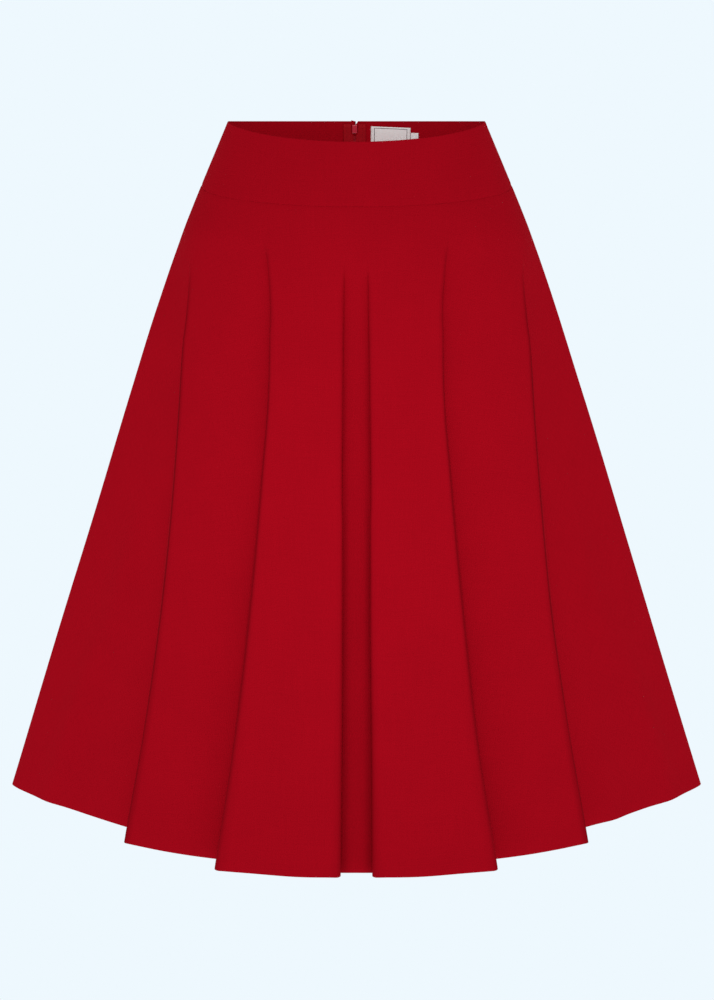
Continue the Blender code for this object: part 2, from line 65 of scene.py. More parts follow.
camera_data = bpy.data.cameras.new("portrait_lens")
camera_data.sensor_width = 36.0
camera_data.lens = LENS_MM
camera = bpy.data.objects.new("camera", camera_data)
bpy.context.scene.collection.objects.link(camera)
camera.location = (0.0005, -CAMERA_DISTANCE, 0.0)
camera.rotation_euler = (math.pi / 2 - CAMERA_TILT, 0.0, 0.0)
bpy.context.scene.camera = camera


# %% A helper for materials, and one for colours
def linear(hex_colour):
    """An sRGB hex value as linear red, green, blue and alpha."""
    parts = [int(hex_colour[i:i + 2], 16) / 255 for i in (1, 3, 5)]
    return [c / 12.92 if c <= 0.04045 else ((c + 0.055) / 1.055) ** 2.4 for c in parts] + [1.0]


def add_node(tree, kind, inputs=None, **settings):
    """Add a node, set its settings, and fill its inputs with values or with other nodes' outputs."""
    made = tree.nodes.new(kind)
    for name, value in settings.items():
        setattr(made, name, value)
    for name, value in (inputs or {}).items():
        socket = made.inputs[name]
        if isinstance(value, bpy.types.NodeSocket):
            tree.links.new(value, socket)
        else:
            socket.default_value = value
    return made


def new_material(name):
    """A material with an empty tree but for its Principled shader, which is returned with the tree."""
    made = bpy.data.materials.new(name)
    made.use_nodes = True
    return made, made.node_tree, made.node_tree.nodes["Principled BSDF"]


# %% World, lamps and floor
PALE = "#EEF8FE"
FLOOR_DROP = 1.05         # a waist is about this high over the floor
FLOOR_RADIUS = 9.0
FLOOR_FADE = (0.0, 0.9)   # metres from the middle where the floor turns into the world's colour
WORLD_CAST = 0.62         # how much of its own brightness the world casts on the cloth

scene = bpy.context.scene
scene.view_settings.view_transform = "Standard"
world = bpy.data.worlds.new("pale_studio")
world.use_nodes = True
shown = world.node_tree.nodes["Background"]
shown.inputs["Color"].default_value = linear(PALE)
cast = add_node(world.node_tree, "ShaderNodeBackground", {"Color": linear("#FFFFFF"),
                                                          "Strength": WORLD_CAST})
light_path = add_node(world.node_tree, "ShaderNodeLightPath")
both = add_node(world.node_tree, "ShaderNodeMixShader", {0: light_path.outputs["Is Camera Ray"],
                                                         1: cast.outputs["Background"],
                                                         2: shown.outputs["Background"]})
world.node_tree.links.new(both.outputs["Shader"], world.node_tree.nodes["World Output"].inputs["Surface"])
scene.world = world


def add_lamp(kind, name, place, aim, **settings):
    """A lamp at a place, turned to what it aims at."""
    data = bpy.data.lights.new(name, kind)
    for setting, value in settings.items():
        setattr(data, setting, value)
    lamp = bpy.data.objects.new(name, data)
    scene.collection.objects.link(lamp)
    lamp.location = place
    lamp.rotation_euler = (Vector(aim) - lamp.location).to_track_quat("-Z", "Y").to_euler()
    return lamp


add_lamp("SPOT", "soft_spot", (0.0, -2.5, 0.15), (0.0, -0.2, -0.32), energy=52,
         shadow_soft_size=0.30, spot_size=math.radians(27), spot_blend=1.0)
for side in (-1, 1):
    add_lamp("SPOT", "side_spot", (side * 1.4, -2.0, -0.3), (side * 0.32, -0.15, -0.62), energy=9,
             shadow_soft_size=0.30, spot_size=math.radians(18), spot_blend=1.0)
waist_card = add_lamp("AREA", "waist_card", (0.0, -0.058, -0.034), (0.0, 0.090, 0.006), energy=0.046,
                      shape="RECTANGLE", size=0.16, size_y=0.02)
waist_card.visible_camera = False

floor_material, tree, shader = new_material("painted_pale_floor")
shader.inputs["Base Color"].default_value = linear(PALE)
shader.inputs["Roughness"].default_value = 0.9
place = add_node(tree, "ShaderNodeTexCoord").outputs["Object"]
distance = add_node(tree, "ShaderNodeVectorMath", {0: place}, operation="LENGTH").outputs["Value"]
fade = add_node(tree, "ShaderNodeMapRange", {"Value": distance, "From Min": FLOOR_FADE[0],
                                             "From Max": FLOOR_FADE[1]}, interpolation_type="SMOOTHSTEP")
glow = add_node(tree, "ShaderNodeEmission", {"Color": linear(PALE), "Strength": 1.0})
mix = add_node(tree, "ShaderNodeMixShader", {0: fade.outputs["Result"], 1: shader.outputs["BSDF"],
                                             2: glow.outputs["Emission"]})
tree.links.new(mix.outputs["Shader"], tree.nodes["Material Output"].inputs["Surface"])

floor_mesh = bmesh.new()
bmesh.ops.create_circle(floor_mesh, cap_ends=True, segments=96, radius=FLOOR_RADIUS,
                        matrix=Matrix.Translation((0, 0, -FLOOR_DROP)))
floor_data = bpy.data.meshes.new("floor")
floor_mesh.to_mesh(floor_data)
floor_mesh.free()
floor_data.materials.append(floor_material)
floor = bpy.data.objects.new("floor", floor_data)
scene.collection.objects.link(floor)
print("camera, lamp and floor are in place")

# %% [markdown]
# ## The form of the skirt
# The cloth is a ring of columns and rows. Four tables hold its design. Level rings give the outline: they
# are the smallest set that draws the waist, the hips and the flare. A row for each fold says where it
# starts, where it runs, and how deep it lies at the hem. A circle skirt hangs in such folds, because its
# cut grows faster than the figure under it: the spare length turns back under itself. The same tables
# shape the solids. Here they are walked in much finer steps.

# %% Sizes of the form
HEM_DROP = 0.695
SEAM_DROP_SIDE = 0.0635
SEAM_DIP_FRONT = 0.0185
WAIST_DIP_FRONT = 0.0197
WAIST_DIP_POWER = 1.5
OPENING_EASE = 0.030      # over this height it starts gently
BEND_RADIUS = 0.0025      # the tightest bend in a fold, at the outside of the cloth
TURN_DEPTH = 4 * BEND_RADIUS   # a fold this deep has room to turn back under itself
EDGE_RADIUS = 0.0060      # a deep fold's outer edge is rounder
WALL_LEAN = math.radians(11)   # how far a fold's wall leans from straight back near its start
LEAN_LOSS = 0.95          # the share of that lean that is lost between the level below and the hem
LEAN_LOSS_DROP = 0.360
STEP_RUN = 0.0100         # width of a step before it deepens, and its largest share of the half width
STEP_SHARE = 1.4
# Painted shade: the cloth's colour is darkened along each fold's edge and below the yoke seam, for the shadow and
# dimmer light there.
PAINTED_SHADE_REACH = 0.0024      # how far the painted shade reaches on both sides of a fold's edge
PAINTED_SHADE_WIDENING = 1.1      # the share by which that reach grows down to the hem
PAINTED_SHADE_OFFSET = 0.0005     # its middle lies just past the edge
PAINTED_SHADE_DEPTH = 0.0100      # depth at which a fold's painted shade is at full strength
# strength of the painted shade along each fold's edge
PAINTED_SHADE_STRENGTH = {"centre": 0.42, "inner": 0.62, "outer": 1.00}
SEAM_PAINTED_SHADE = 0.10       # painted shade below the yoke seam, and how far down it fades
SEAM_PAINTED_SHADE_REACH = 0.110
BEND_SHARE = 0.8          # the share of a fold's columns that lies in its bends
SIDE_CREST_POWER = 2.4    # how hollow the cloth runs up to the crest at each side seam
SIDE_CREST_ROUND = 0.03   # roundness of that crest, as a share of its reach
START_REACH = 0.4
ZIP_X = -0.0020
CLOTH_SPACE = 0.0014      # the thickness of the solids' walls, which the cloth and its turnings fill

Ring = namedtuple("Ring", "drop half_width front_depth back_depth")
RINGS = (
    Ring(0.000, 0.1305, 0.0915, 0.0915),
    Ring(0.110, 0.1768, 0.1300, 0.1370),
    Ring(0.191, 0.2063, 0.1575, 0.1655),
    Ring(0.274, 0.2330, 0.1840, 0.1905),
    Ring(HEM_DROP, 0.3660, 0.3120, 0.3120),
)

Fold = namedtuple("Fold", "name start depth power turn reach")
FRONT_FOLDS = (
    Fold("centre", 0.128, -0.0135, 0.35, 0.0030, 0.0090),
    Fold("inner", 0.104, 0.0315, 0.62, 0.0360, 0.0190),
    Fold("outer", 0.130, 0.0370, 0.68, 0.0360, 0.0190),
)
BACK_RIGHT_FOLDS = (
    Fold("inner", 0.130, 0.0340, 0.68, 0.0370, 0.0190),
    Fold("outer", 0.150, 0.0360, 0.72, 0.0370, 0.0190),
)
BACK_LEFT_FOLDS = (
    Fold("inner", 0.145, 0.0370, 0.72, 0.0380, 0.0190),
    Fold("outer", 0.125, 0.0320, 0.68, 0.0370, 0.0190),
)

# The way down of each fold: its angle, 0 at the centre line and 90 at the side, at a few drops.
Swing = namedtuple("Swing", "drop inner outer centre", defaults=(0.0,))
FRONT_RIGHT_SWINGS = (
    Swing(0.100, 30.0, 73.2, 3.7),
    Swing(0.160, 24.7, 62.2, 3.5),
    Swing(0.240, 20.7, 54.5, 3.4),
    Swing(0.340, 18.9, 47.8, 3.4),
    Swing(0.460, 17.9, 43.1, 3.2),
    Swing(0.580, 17.8, 40.9, 3.1),
    Swing(HEM_DROP, 18.5, 40.2, 3.1),
)
FRONT_LEFT_SWINGS = (
    Swing(0.100, 30.1, 72.7, 3.5),
    Swing(0.160, 24.7, 62.2, 3.3),
    Swing(0.240, 20.6, 54.5, 3.3),
    Swing(0.340, 18.8, 48.0, 3.4),
    Swing(0.460, 17.9, 43.0, 3.2),
    Swing(0.580, 17.6, 40.8, 3.2),
    Swing(HEM_DROP, 18.4, 40.1, 3.1),
)
BACK_RIGHT_SWINGS = (
    Swing(0.100, 31.5, 59.0),
    Swing(0.240, 26.0, 53.0),
    Swing(0.460, 22.5, 47.5),
    Swing(HEM_DROP, 21.0, 44.0),
)
BACK_LEFT_SWINGS = (
    Swing(0.100, 28.0, 62.0),
    Swing(0.240, 26.5, 56.0),
    Swing(0.460, 24.5, 51.5),
    Swing(HEM_DROP, 24.0, 48.0),
)

ZipGap = namedtuple("ZipGap", "drop half_gap")
ZIP_GAPS = (
    ZipGap(0.0000, 0.0036),
    ZipGap(0.0036, 0.0013),
    ZipGap(0.0092, 0.0013),
    ZipGap(0.0120, 0.0),
)


# %% Reading the tables
def along(rows, drop, column):
    """A smooth value of one column of a table at a drop: a cubic through the rows, level slopes joined."""
    drops = [row.drop for row in rows]
    values = [getattr(row, column) for row in rows]
    last = len(rows) - 2
    i = next((k for k in range(last) if drop < drops[k + 1]), last)
    slopes = [(values[k + 1] - values[k]) / (drops[k + 1] - drops[k]) for k in range(last + 1)]
    before = slopes[i] if i == 0 else (slopes[i - 1] + slopes[i]) / 2
    after = slopes[i] if i == last else (slopes[i] + slopes[i + 1]) / 2
    span = drops[i + 1] - drops[i]
    t = (drop - drops[i]) / span
    return ((2 * t**3 - 3 * t**2 + 1) * values[i] + (t**3 - 2 * t**2 + t) * span * before
            + (3 * t**2 - 2 * t**3) * values[i + 1] + (t**3 - t**2) * span * after)


def steps(start, end, count):
    """Equal steps after start, up to and with end."""
    return [start + (end - start) * k / count for k in range(1, count + 1)]


def smooth(share):
    """An ease from 0 to 1."""
    share = max(0.0, min(1.0, share))
    return share * share * (3 - 2 * share)


def zip_half_gap(drop):
    """Half the distance between the two back pieces at a drop."""
    for upper, lower in zip(ZIP_GAPS, ZIP_GAPS[1:]):
        if drop < lower.drop:
            t = (drop - upper.drop) / (lower.drop - upper.drop)
            return upper.half_gap + (lower.half_gap - upper.half_gap) * t
    return ZIP_GAPS[-1].half_gap


def opened(fold, drop):
    """How far a fold has opened at a drop: 0 down to its start, 1 at the hem."""
    fallen = max(0.0, drop - fold.start)
    return (fallen / (HEM_DROP - fold.start)) ** fold.power * smooth(fallen / OPENING_EASE)


# %% [markdown]
# Between the folds a panel isn't flat. Soft ridges and troughs run down it, uneven in length and height,
# because the cloth's weight pulls on a cut that widens. They are listed one row each, on the hidden sides
# as well. A little noise, stretched along the fall of the cloth, takes away what is left of the
# drawing-board look.

# %% Soft creases
Crease = namedtuple("Crease", "quarter angle_top angle_hem top foot width height")
CREASES = (
    Crease("front_right", 9.0, 8.0, 0.160, 0.900, 0.030, 0.0045),
    Crease("front_left", 9.5, 8.2, 0.150, 0.920, 0.031, 0.0045),
    Crease("front_right", 35.0, 29.0, 0.300, 0.720, 0.020, 0.0025),
    Crease("front_left", 34.0, 30.0, 0.260, 0.740, 0.022, 0.0028),
    Crease("front_right", 66.0, 71.0, 0.300, 0.640, 0.025, 0.0045),
    Crease("front_right", 72.0, 77.0, 0.470, 0.780, 0.022, 0.0055),
    Crease("front_left", 67.0, 70.0, 0.330, 0.660, 0.027, 0.0040),
    Crease("front_left", 74.0, 78.0, 0.450, 0.790, 0.023, 0.0060),
    Crease("front_left", 57.0, 58.0, 0.560, 0.790, 0.022, 0.0035),
    Crease("back_right", 12.0, 11.0, 0.280, 0.760, 0.032, 0.0030),
    Crease("back_right", 38.0, 34.0, 0.240, 0.720, 0.024, 0.0035),
    Crease("back_right", 68.0, 72.0, 0.340, 0.780, 0.020, 0.0055),
    Crease("back_left", 15.0, 13.0, 0.340, 0.780, 0.028, 0.0030),
    Crease("back_left", 42.0, 38.0, 0.300, 0.760, 0.022, 0.0035),
    Crease("back_left", 71.0, 75.0, 0.260, 0.700, 0.022, 0.0050),
)
LOOSENESS = 0.0007        # height of the noise
LOOSE_ACROSS = 0.060      # its size across the cloth and down it
LOOSE_DOWN = 0.220


# %% [markdown]
# The skirt is the same four times over: a quarter runs from a centre line to a side seam. One class holds
# what a quarter knows, so the front and the back share every formula and differ only in their tables.

# %% A fold seen from above
# The share of a fold's columns on each stretch of its way: edge, wall, inner bend, turn and last bend.
# A stretch that is about as short as SHORT_STRETCH gets fewer.
STRETCH_SHARES = (0.25, 0.125, 0.125, 0.125, 0.375)
SHORT_STRETCH = 0.003


def with_columns(stretches):
    """Stretches of cloth with their lengths, their bends and their shares of the columns."""
    weights = [share * length / (length + SHORT_STRETCH)
               for (length, bend), share in zip(stretches, STRETCH_SHARES)]
    return [(length, bend, weight / sum(weights)) for (length, bend), weight in zip(stretches, weights)]


def wall_lean(drop):
    """How far a fold's wall leans from straight back at a drop."""
    return WALL_LEAN * (1 - LEAN_LOSS * smooth((drop - LEAN_LOSS_DROP) / (HEM_DROP - LEAN_LOSS_DROP)))


def painted_shade_reach(drop):
    """How far the painted shade along an edge reaches: further near the hem, where more cloth hangs over it."""
    return PAINTED_SHADE_REACH * (1 + PAINTED_SHADE_WIDENING * smooth((drop - LEAN_LOSS_DROP) / (HEM_DROP - LEAN_LOSS_DROP)))


def fold_path(depth, turn, lean, half_width):
    """The way of the cloth through a fold seen from above, in five stretches.

    The cloth bends over an edge, goes down the wall behind it, runs back under itself by turn and bends
    forward again. lean is the wall's tilt from straight back. A fold that is too shallow is only a step.
    """
    edge = math.pi / 2 - lean
    if depth <= TURN_DEPTH:
        run = min(STEP_RUN, STEP_SHARE * half_width) * math.sqrt(1 - depth / TURN_DEPTH)
        bend = 2 * math.atan2(depth, run)
        arc = (run * run + depth * depth) / (4 * depth) * bend if depth > 1e-7 else run / 2
        over = edge / math.pi
        return with_columns([(arc * over, bend * over), (0.0, 0.0), (arc * (1 - over), bend * (1 - over)),
                             (0.0, 0.0), (arc, -bend)])
    radius = min(EDGE_RADIUS, BEND_RADIUS + (depth - TURN_DEPTH) / 2)
    wall = depth - radius * (1 - math.cos(edge)) - BEND_RADIUS * (3 + math.cos(edge))
    back = math.pi - edge
    return with_columns([(radius * edge, edge), (wall / math.sin(edge), 0.0), (BEND_RADIUS * back, back),
                         (turn, 0.0), (BEND_RADIUS * math.pi, -math.pi)])


def walk(path, share):
    """The place along the ring and the depth that a path has reached at a share of its columns."""
    heading = along_ring = deep = 0.0
    for length, bend, columns in path:
        if not columns:
            continue
        part = min(1.0, share / columns)
        gone, turned = length * part, bend * part
        if abs(turned) > 1e-6:
            radius = gone / turned
            along_ring += radius * (math.sin(heading + turned) - math.sin(heading))
            deep -= radius * (math.cos(heading + turned) - math.cos(heading))
        else:
            along_ring += gone * math.cos(heading)
            deep += gone * math.sin(heading)
        heading += turned
        share -= columns
        if share <= 0:
            break
    return along_ring, deep


def fold_curve(path, depth, half_width, place):
    """A point on a fold: its place along the ring from the fold's middle, its depth, its way from the edge."""
    start = -walk(path, 1.0)[0] / 2
    if place < -BEND_SHARE:
        where, deep = start + (half_width + start) * (place + BEND_SHARE) / (1 - BEND_SHARE), 0.0
    elif place > BEND_SHARE:
        where, deep = -start + (half_width + start) * (place - BEND_SHARE) / (1 - BEND_SHARE), depth
    else:
        where, deep = walk(path, (place / BEND_SHARE + 1) / 2)
        where += start
    return where, deep, where - start - walk(path, path[0][2])[0]


# %% A quarter of the ring
PANEL_STEPS = 10          # columns in a panel between two folds
FOLD_STEPS = {"centre": 20, "inner": 40, "outer": 40}
SIDE_STEPS = 26
SEAM_CROWD = (0.0050, 0.0032, 0.0020, 0.0011, 0.0005, 0.0)   # closer columns and rows next to a seam


class Quarter:
    """One quarter of the ring, between a centre line and a side seam."""

    def __init__(self, name, side, front, folds, swings):
        self.name = name
        self.side = side                              # -1 on the wearer's right, +1 on the left
        self.front = front
        self.folds = folds
        self.swings = swings
        self.creases = [crease for crease in CREASES if crease.quarter == name]

    def half_sizes(self, drop):
        depth = "front_depth" if self.front else "back_depth"
        return along(RINGS, drop, "half_width"), along(RINGS, drop, depth)

    def stretch(self, angle, drop):
        """Metres along the ring for one radian at an angle."""
        width, depth = self.half_sizes(drop)
        return math.hypot(width * math.cos(angle), depth * math.sin(angle))

    def facing(self, angle, drop):
        """The angle between straight ahead and the way the ring faces."""
        width, depth = self.half_sizes(drop)
        return math.atan2(math.sin(angle) / width, math.cos(angle) / depth)

    def waist_drop(self, angle):
        return WAIST_DIP_FRONT * max(0.0, math.cos(angle)) ** WAIST_DIP_POWER if self.front else 0.0

    def seam_drop(self, angle):
        return SEAM_DROP_SIDE + (SEAM_DIP_FRONT * max(0.0, math.cos(angle)) if self.front else 0.0)

    def point(self, angle, drop, lowered=0.0, slid=0.0):
        """A point on the ring, lowered towards the body and slid along the ring towards the side."""
        width, depth = self.half_sizes(drop)
        across, forward = math.sin(angle), math.cos(angle)
        normal = Vector((across / width, forward / depth)).normalized()
        flat = Vector((width * across, depth * forward)) - normal * lowered
        flat += Vector((normal.y, -normal.x)) * slid
        return Vector((self.side * flat.x, -flat.y if self.front else flat.y, -drop))

    def fold_angle(self, fold, drop):
        return math.radians(along(self.swings, max(drop, self.swings[0].drop), fold.name))

    def reach_angle(self, fold, angle, drop):
        reach = fold.reach * (START_REACH + (1 - START_REACH) * math.sqrt(opened(fold, drop)))
        return reach / self.stretch(angle, drop)

    def raised(self, angle, drop):
        """The height of the soft creases and the noise at an angle and a drop."""
        height = 0.0
        for crease in self.creases:
            share = (drop - crease.top) / (crease.foot - crease.top)
            if 0 < share < 1:
                middle = math.radians(crease.angle_top + (crease.angle_hem - crease.angle_top) * share)
                away = (angle - middle) * self.stretch(middle, drop) / crease.width
                height += crease.height * math.exp(-away * away) * math.sin(math.pi * share) ** 2
        here = self.point(angle, drop)
        where = Vector((here.x / LOOSE_ACROSS, here.y / LOOSE_ACROSS, here.z / LOOSE_DOWN))
        loose = smooth((drop - SEAM_DROP_SIDE) / 0.15)
        return height + LOOSENESS * loose * noise.noise(where)

    def folded(self, angle, level, drop):
        """The cloth at an angle, and the painted shade there: level is the drop that sets where the folds lie."""
        lowered = slid = 0.0
        # painted shade below the yoke seam, fading downwards
        painted_shade = SEAM_PAINTED_SHADE * (1 - smooth((drop - SEAM_DROP_SIDE) / SEAM_PAINTED_SHADE_REACH))
        for fold in self.folds:
            middle = self.fold_angle(fold, level)
            reach = self.reach_angle(fold, middle, level)
            from_fold = (angle - middle) / reach
            place = max(-1.0, min(1.0, from_fold))
            half_width = reach * self.stretch(middle, drop)
            depth = abs(fold.depth) * opened(fold, drop)
            turn = fold.turn * (depth - TURN_DEPTH) / (abs(fold.depth) - TURN_DEPTH)
            mirror = -1 if fold.depth < 0 else 1
            facing = self.facing(middle, drop)
            path = fold_path(depth, turn, wall_lean(drop) + mirror * facing, half_width)
            where, deep, from_edge = fold_curve(path, depth, half_width, place * mirror)
            lowered += deep
            slid += where * mirror - place * half_width
            from_edge += (from_fold - place) * mirror * half_width
            # painted shade on both sides of the fold's edge
            from_middle = (from_edge - PAINTED_SHADE_OFFSET) / painted_shade_reach(drop) * math.cos(facing)
            painted_shade = max(painted_shade, PAINTED_SHADE_STRENGTH[fold.name] * smooth(depth / PAINTED_SHADE_DEPTH) * math.exp(-from_middle ** 2))
        start = middle + reach
        if angle > start:
            away = (math.pi / 2 - angle) / (math.pi / 2 - start)
            soft = math.hypot(away, SIDE_CREST_ROUND) - SIDE_CREST_ROUND
            soft /= math.hypot(1, SIDE_CREST_ROUND) - SIDE_CREST_ROUND
            lowered *= 1 - (1 - soft) ** SIDE_CREST_POWER
        return self.point(angle, drop, lowered - self.raised(angle, drop), slid), painted_shade

    def angles(self, drop):
        """The angle of each column at a drop: steps across the panels, closer ones across the folds."""
        angles = [0.0]
        for fold in self.folds:
            middle = self.fold_angle(fold, drop)
            reach = self.reach_angle(fold, middle, drop)
            angles += steps(angles[-1], middle - reach, PANEL_STEPS)
            angles += steps(angles[-1], middle + reach, FOLD_STEPS[fold.name])
        start, side = angles[-1], math.pi / 2
        last = side - SEAM_CROWD[0] / self.stretch(side, drop)
        angles += [last - (last - start) * (1 - k / SIDE_STEPS) ** 1.3 for k in range(1, SIDE_STEPS + 1)]
        return angles + [side - gap / self.stretch(side, drop) for gap in SEAM_CROWD[1:]]


QUARTERS = (
    Quarter("back_right", -1, False, BACK_RIGHT_FOLDS, BACK_RIGHT_SWINGS),
    Quarter("front_right", -1, True, FRONT_FOLDS, FRONT_RIGHT_SWINGS),
    Quarter("front_left", 1, True, FRONT_FOLDS, FRONT_LEFT_SWINGS),
    Quarter("back_left", 1, False, BACK_LEFT_FOLDS, BACK_LEFT_SWINGS),
)

# %% [markdown]
# A row goes once round the skirt, from the centre back over the wearer's right side. The rows are closer
# together next to a seam, because there the cloth dips into the stitching within a few millimetres, and
# that little hollow is what makes a seam readable from a distance.

# %% Rows round the whole skirt
YOKE_STEPS = 30           # columns in a quarter of the yoke
YOKE_ROWS = 14
SKIRT_ROWS = 96
ROW_EASING = 1.2


def join_ring(right_back, right_front, left_front, left_back):
    """One row of the whole ring, from the centre back round the wearer's right to the centre back."""
    return right_back + right_front[-2::-1] + left_front[1:] + left_back[-2::-1]


def yoke_angles(quarter, drop):
    near_seam = [math.pi / 2 - gap / quarter.stretch(math.pi / 2, drop) for gap in SEAM_CROWD]
    first = 0.006 / quarter.stretch(0.0, drop)
    near_centre = [0.0] if quarter.front else [0.0] + steps(0.0, first, 3)
    return near_centre + steps(near_centre[-1], near_seam[0], YOKE_STEPS) + near_seam[1:]


def yoke_row(share):
    """The yoke's row at a share of the way from the waist edge to the seam."""
    def quarter_row(quarter):
        row = []
        for angle in yoke_angles(quarter, SEAM_DROP_SIDE * share):
            top = quarter.waist_drop(angle)
            row.append(quarter.point(angle, top + (quarter.seam_drop(angle) - top) * share))
        return row
    return join_ring(*(quarter_row(quarter) for quarter in QUARTERS))


def skirt_row(share):
    """The skirt's row at a share of the way from the yoke seam to the hem."""
    level = SEAM_DROP_SIDE + (HEM_DROP - SEAM_DROP_SIDE) * share

    def quarter_row(quarter):
        row = []
        for angle in quarter.angles(level):
            top = quarter.seam_drop(angle)
            row.append(quarter.folded(angle, level, top + (HEM_DROP - top) * share))
        return row
    ring = join_ring(*(quarter_row(quarter) for quarter in QUARTERS))
    return [point for point, painted_shade in ring], [painted_shade for point, painted_shade in ring]


def row_normals(rows):
    """The outward normal at each point of a closed ring's rows, whose first and last columns coincide."""
    normals = []
    for i, row in enumerate(rows):
        above, below = rows[max(i - 1, 0)], rows[min(i + 1, len(rows) - 1)]
        count = len(row) - 1
        normals.append([(below[j] - above[j]).cross(row[(j + 1) % count] - row[(j - 1) % count]).normalized()
                        for j in range(len(row))])
    return normals


SKIRT_LENGTH = HEM_DROP - SEAM_DROP_SIDE
YOKE_LENGTH = SEAM_DROP_SIDE
skirt_shares = [gap / SKIRT_LENGTH for gap in SEAM_CROWD[::-1]]
open_share = 1 - skirt_shares[-1]
skirt_shares += [1 - open_share * (1 - (k / SKIRT_ROWS) ** ROW_EASING) for k in range(1, SKIRT_ROWS + 1)]
zip_shares = [gap.drop / YOKE_LENGTH for gap in ZIP_GAPS]
yoke_shares = [0.0, 0.010, 0.025] + zip_shares[1:]
yoke_shares += steps(zip_shares[-1], 1 - SEAM_CROWD[0] / YOKE_LENGTH, YOKE_ROWS)
yoke_shares += [1 - gap / YOKE_LENGTH for gap in SEAM_CROWD[1:]]

skirt_rows, skirt_painted_shade = zip(*(skirt_row(share) for share in skirt_shares))
yoke_rows = [yoke_row(share) for share in yoke_shares]
print("skirt rows and columns:", len(skirt_rows), len(skirt_rows[0]))
print("yoke rows and columns:", len(yoke_rows), len(yoke_rows[0]))

# %% [markdown]
# ## Cloth from rows
# A panel is cut out of the rows as a sheet, and Solidify gives it the cloth's thickness. Before that, the
# sheet gets what a maker's iron and needle give it. It dips into its seams. Its waist edge is rounded over.
# At the hem it turns round a tight bend and runs back up inside, so the hem is two layers thick and has a
# real inside.

# %% Cutting a panel
CLOTH_THICK = 0.0006
SEAM_DIP = 0.0004         # how far the cloth sinks into a seam
SEAM_DIP_REACH = 0.0016
SEAM_HALF_GAP = 0.00002
HEM_TURNING = 0.028       # height of the hem's turning inside
HEM_BEND = 0.00042        # radius of the hem's bend, at the middle of the cloth
HEM_BEND_STEPS = 6
HEM_ROWS = 8


def seam_dip(gap):
    """How far the cloth has sunk at a distance from a seam."""
    return SEAM_DIP * math.exp(-(gap / SEAM_DIP_REACH) ** 2)


def edge_gap(at_zip, zip_shift, point):
    """How far a panel's edge lies from its seam line, or from the centre back where the zip is."""
    return zip_half_gap(-point.z) + zip_shift if at_zip else SEAM_HALF_GAP


def panel_sheet(rows, normals, first, last, top_seam, foot_seam, zip_edge):
    """The points of a panel's sheet, with its seams dipped and its edges set back from their seam lines."""
    sheet = []
    for i, row in enumerate(rows):
        points = [point.copy() for point in row[first:last + 1]]
        along_first = (row[first + 1] - row[first]).normalized()
        along_last = (row[last] - row[last - 1]).normalized()
        moves = [Vector() for point in points]
        for j, point in enumerate(points):
            gaps = []
            if zip_edge != "first":
                gaps.append((point - row[first]).length)
            if zip_edge != "last":
                gaps.append((point - row[last]).length)
            if top_seam:
                gaps.append((point - rows[0][first + j]).length)
            if foot_seam:
                gaps.append((point - rows[-1][first + j]).length)
            if gaps:
                moves[j] = -normals[i][first + j] * seam_dip(min(gaps))
        moves[0] += along_first * edge_gap(zip_edge == "first", -ZIP_X, row[first])
        moves[-1] -= along_last * edge_gap(zip_edge == "last", ZIP_X, row[last])
        sheet.append([point + move for point, move in zip(points, moves)])
    return sheet


def add_hem(sheet, normals, first):
    """Turn the sheet's foot round a bend and run it back up inside."""
    length = [0.0] * len(sheet[0])
    foot = [point.copy() for point in sheet[-1]]
    foot_normals = normals[-1][first:first + len(foot)]
    up = [(sheet[-2][j] - sheet[-1][j]).normalized() for j in range(len(foot))]
    for k in range(1, HEM_BEND_STEPS + 1):
        turn = math.pi * k / HEM_BEND_STEPS
        sheet.append([foot[j] - foot_normals[j] * HEM_BEND * (1 - math.cos(turn))
                      - up[j] * HEM_BEND * math.sin(turn) for j in range(len(foot))])
    base_rows = sheet[:-HEM_BEND_STEPS]
    for k in range(1, HEM_ROWS + 1):
        height = HEM_TURNING * k / HEM_ROWS
        row = []
        for j in range(len(foot)):
            climbed, i = 0.0, len(base_rows) - 1
            while i > 0 and climbed + (base_rows[i - 1][j] - base_rows[i][j]).length < height:
                climbed += (base_rows[i - 1][j] - base_rows[i][j]).length
                i -= 1
            step = (base_rows[i - 1][j] - base_rows[i][j]).normalized()
            row.append(base_rows[i][j] + step * (height - climbed)
                       - normals[i][first + j] * 2 * HEM_BEND)
        sheet.append(row)
    return sheet


def sheet_object(name, sheet, flats, cloth, thick=CLOTH_THICK, painted_shade=None):
    """A mesh of one sheet of points, with its flat cut in metres as its UV map, and its thickness."""
    rows, columns = len(sheet), len(sheet[0])
    data = bpy.data.meshes.new(name)
    faces = [(i * columns + j, (i + 1) * columns + j, (i + 1) * columns + j + 1, i * columns + j + 1)
             for i in range(rows - 1) for j in range(columns - 1)]
    data.from_pydata([point for row in sheet for point in row], [], faces)
    layer = data.uv_layers.new(name="flat_cut")
    flat = [uv for row in flats for uv in row]
    for loop in data.loops:
        layer.data[loop.index].uv = flat[loop.vertex_index]
    # painted shade, kept on each point for the crepe's colour
    if painted_shade:
        layer = data.attributes.new("painted_shade", "FLOAT", "POINT")
        layer.data.foreach_set("value", [value for row in painted_shade for value in row])
    data.materials.append(cloth)
    data.shade_smooth()
    item = bpy.data.objects.new(name, data)
    scene.collection.objects.link(item)
    wall = item.modifiers.new("thickness", "SOLIDIFY")
    wall.thickness = thick
    wall.offset = -1.0
    wall.use_even_offset = False
    return item


# %% [markdown]
# ## The flat cut
# The texture has to run with the threads, so every point carries its place in the flat pattern as UV, in
# metres. The skirt is cut as a part of a flat ring: a point's distance from the ring's centre is the yoke
# seam's radius plus its way down the cloth, and its angle is its share of the row. The threads then lie
# straight at the centre front and turn to the bias at the side seams, as they do on the real cut.

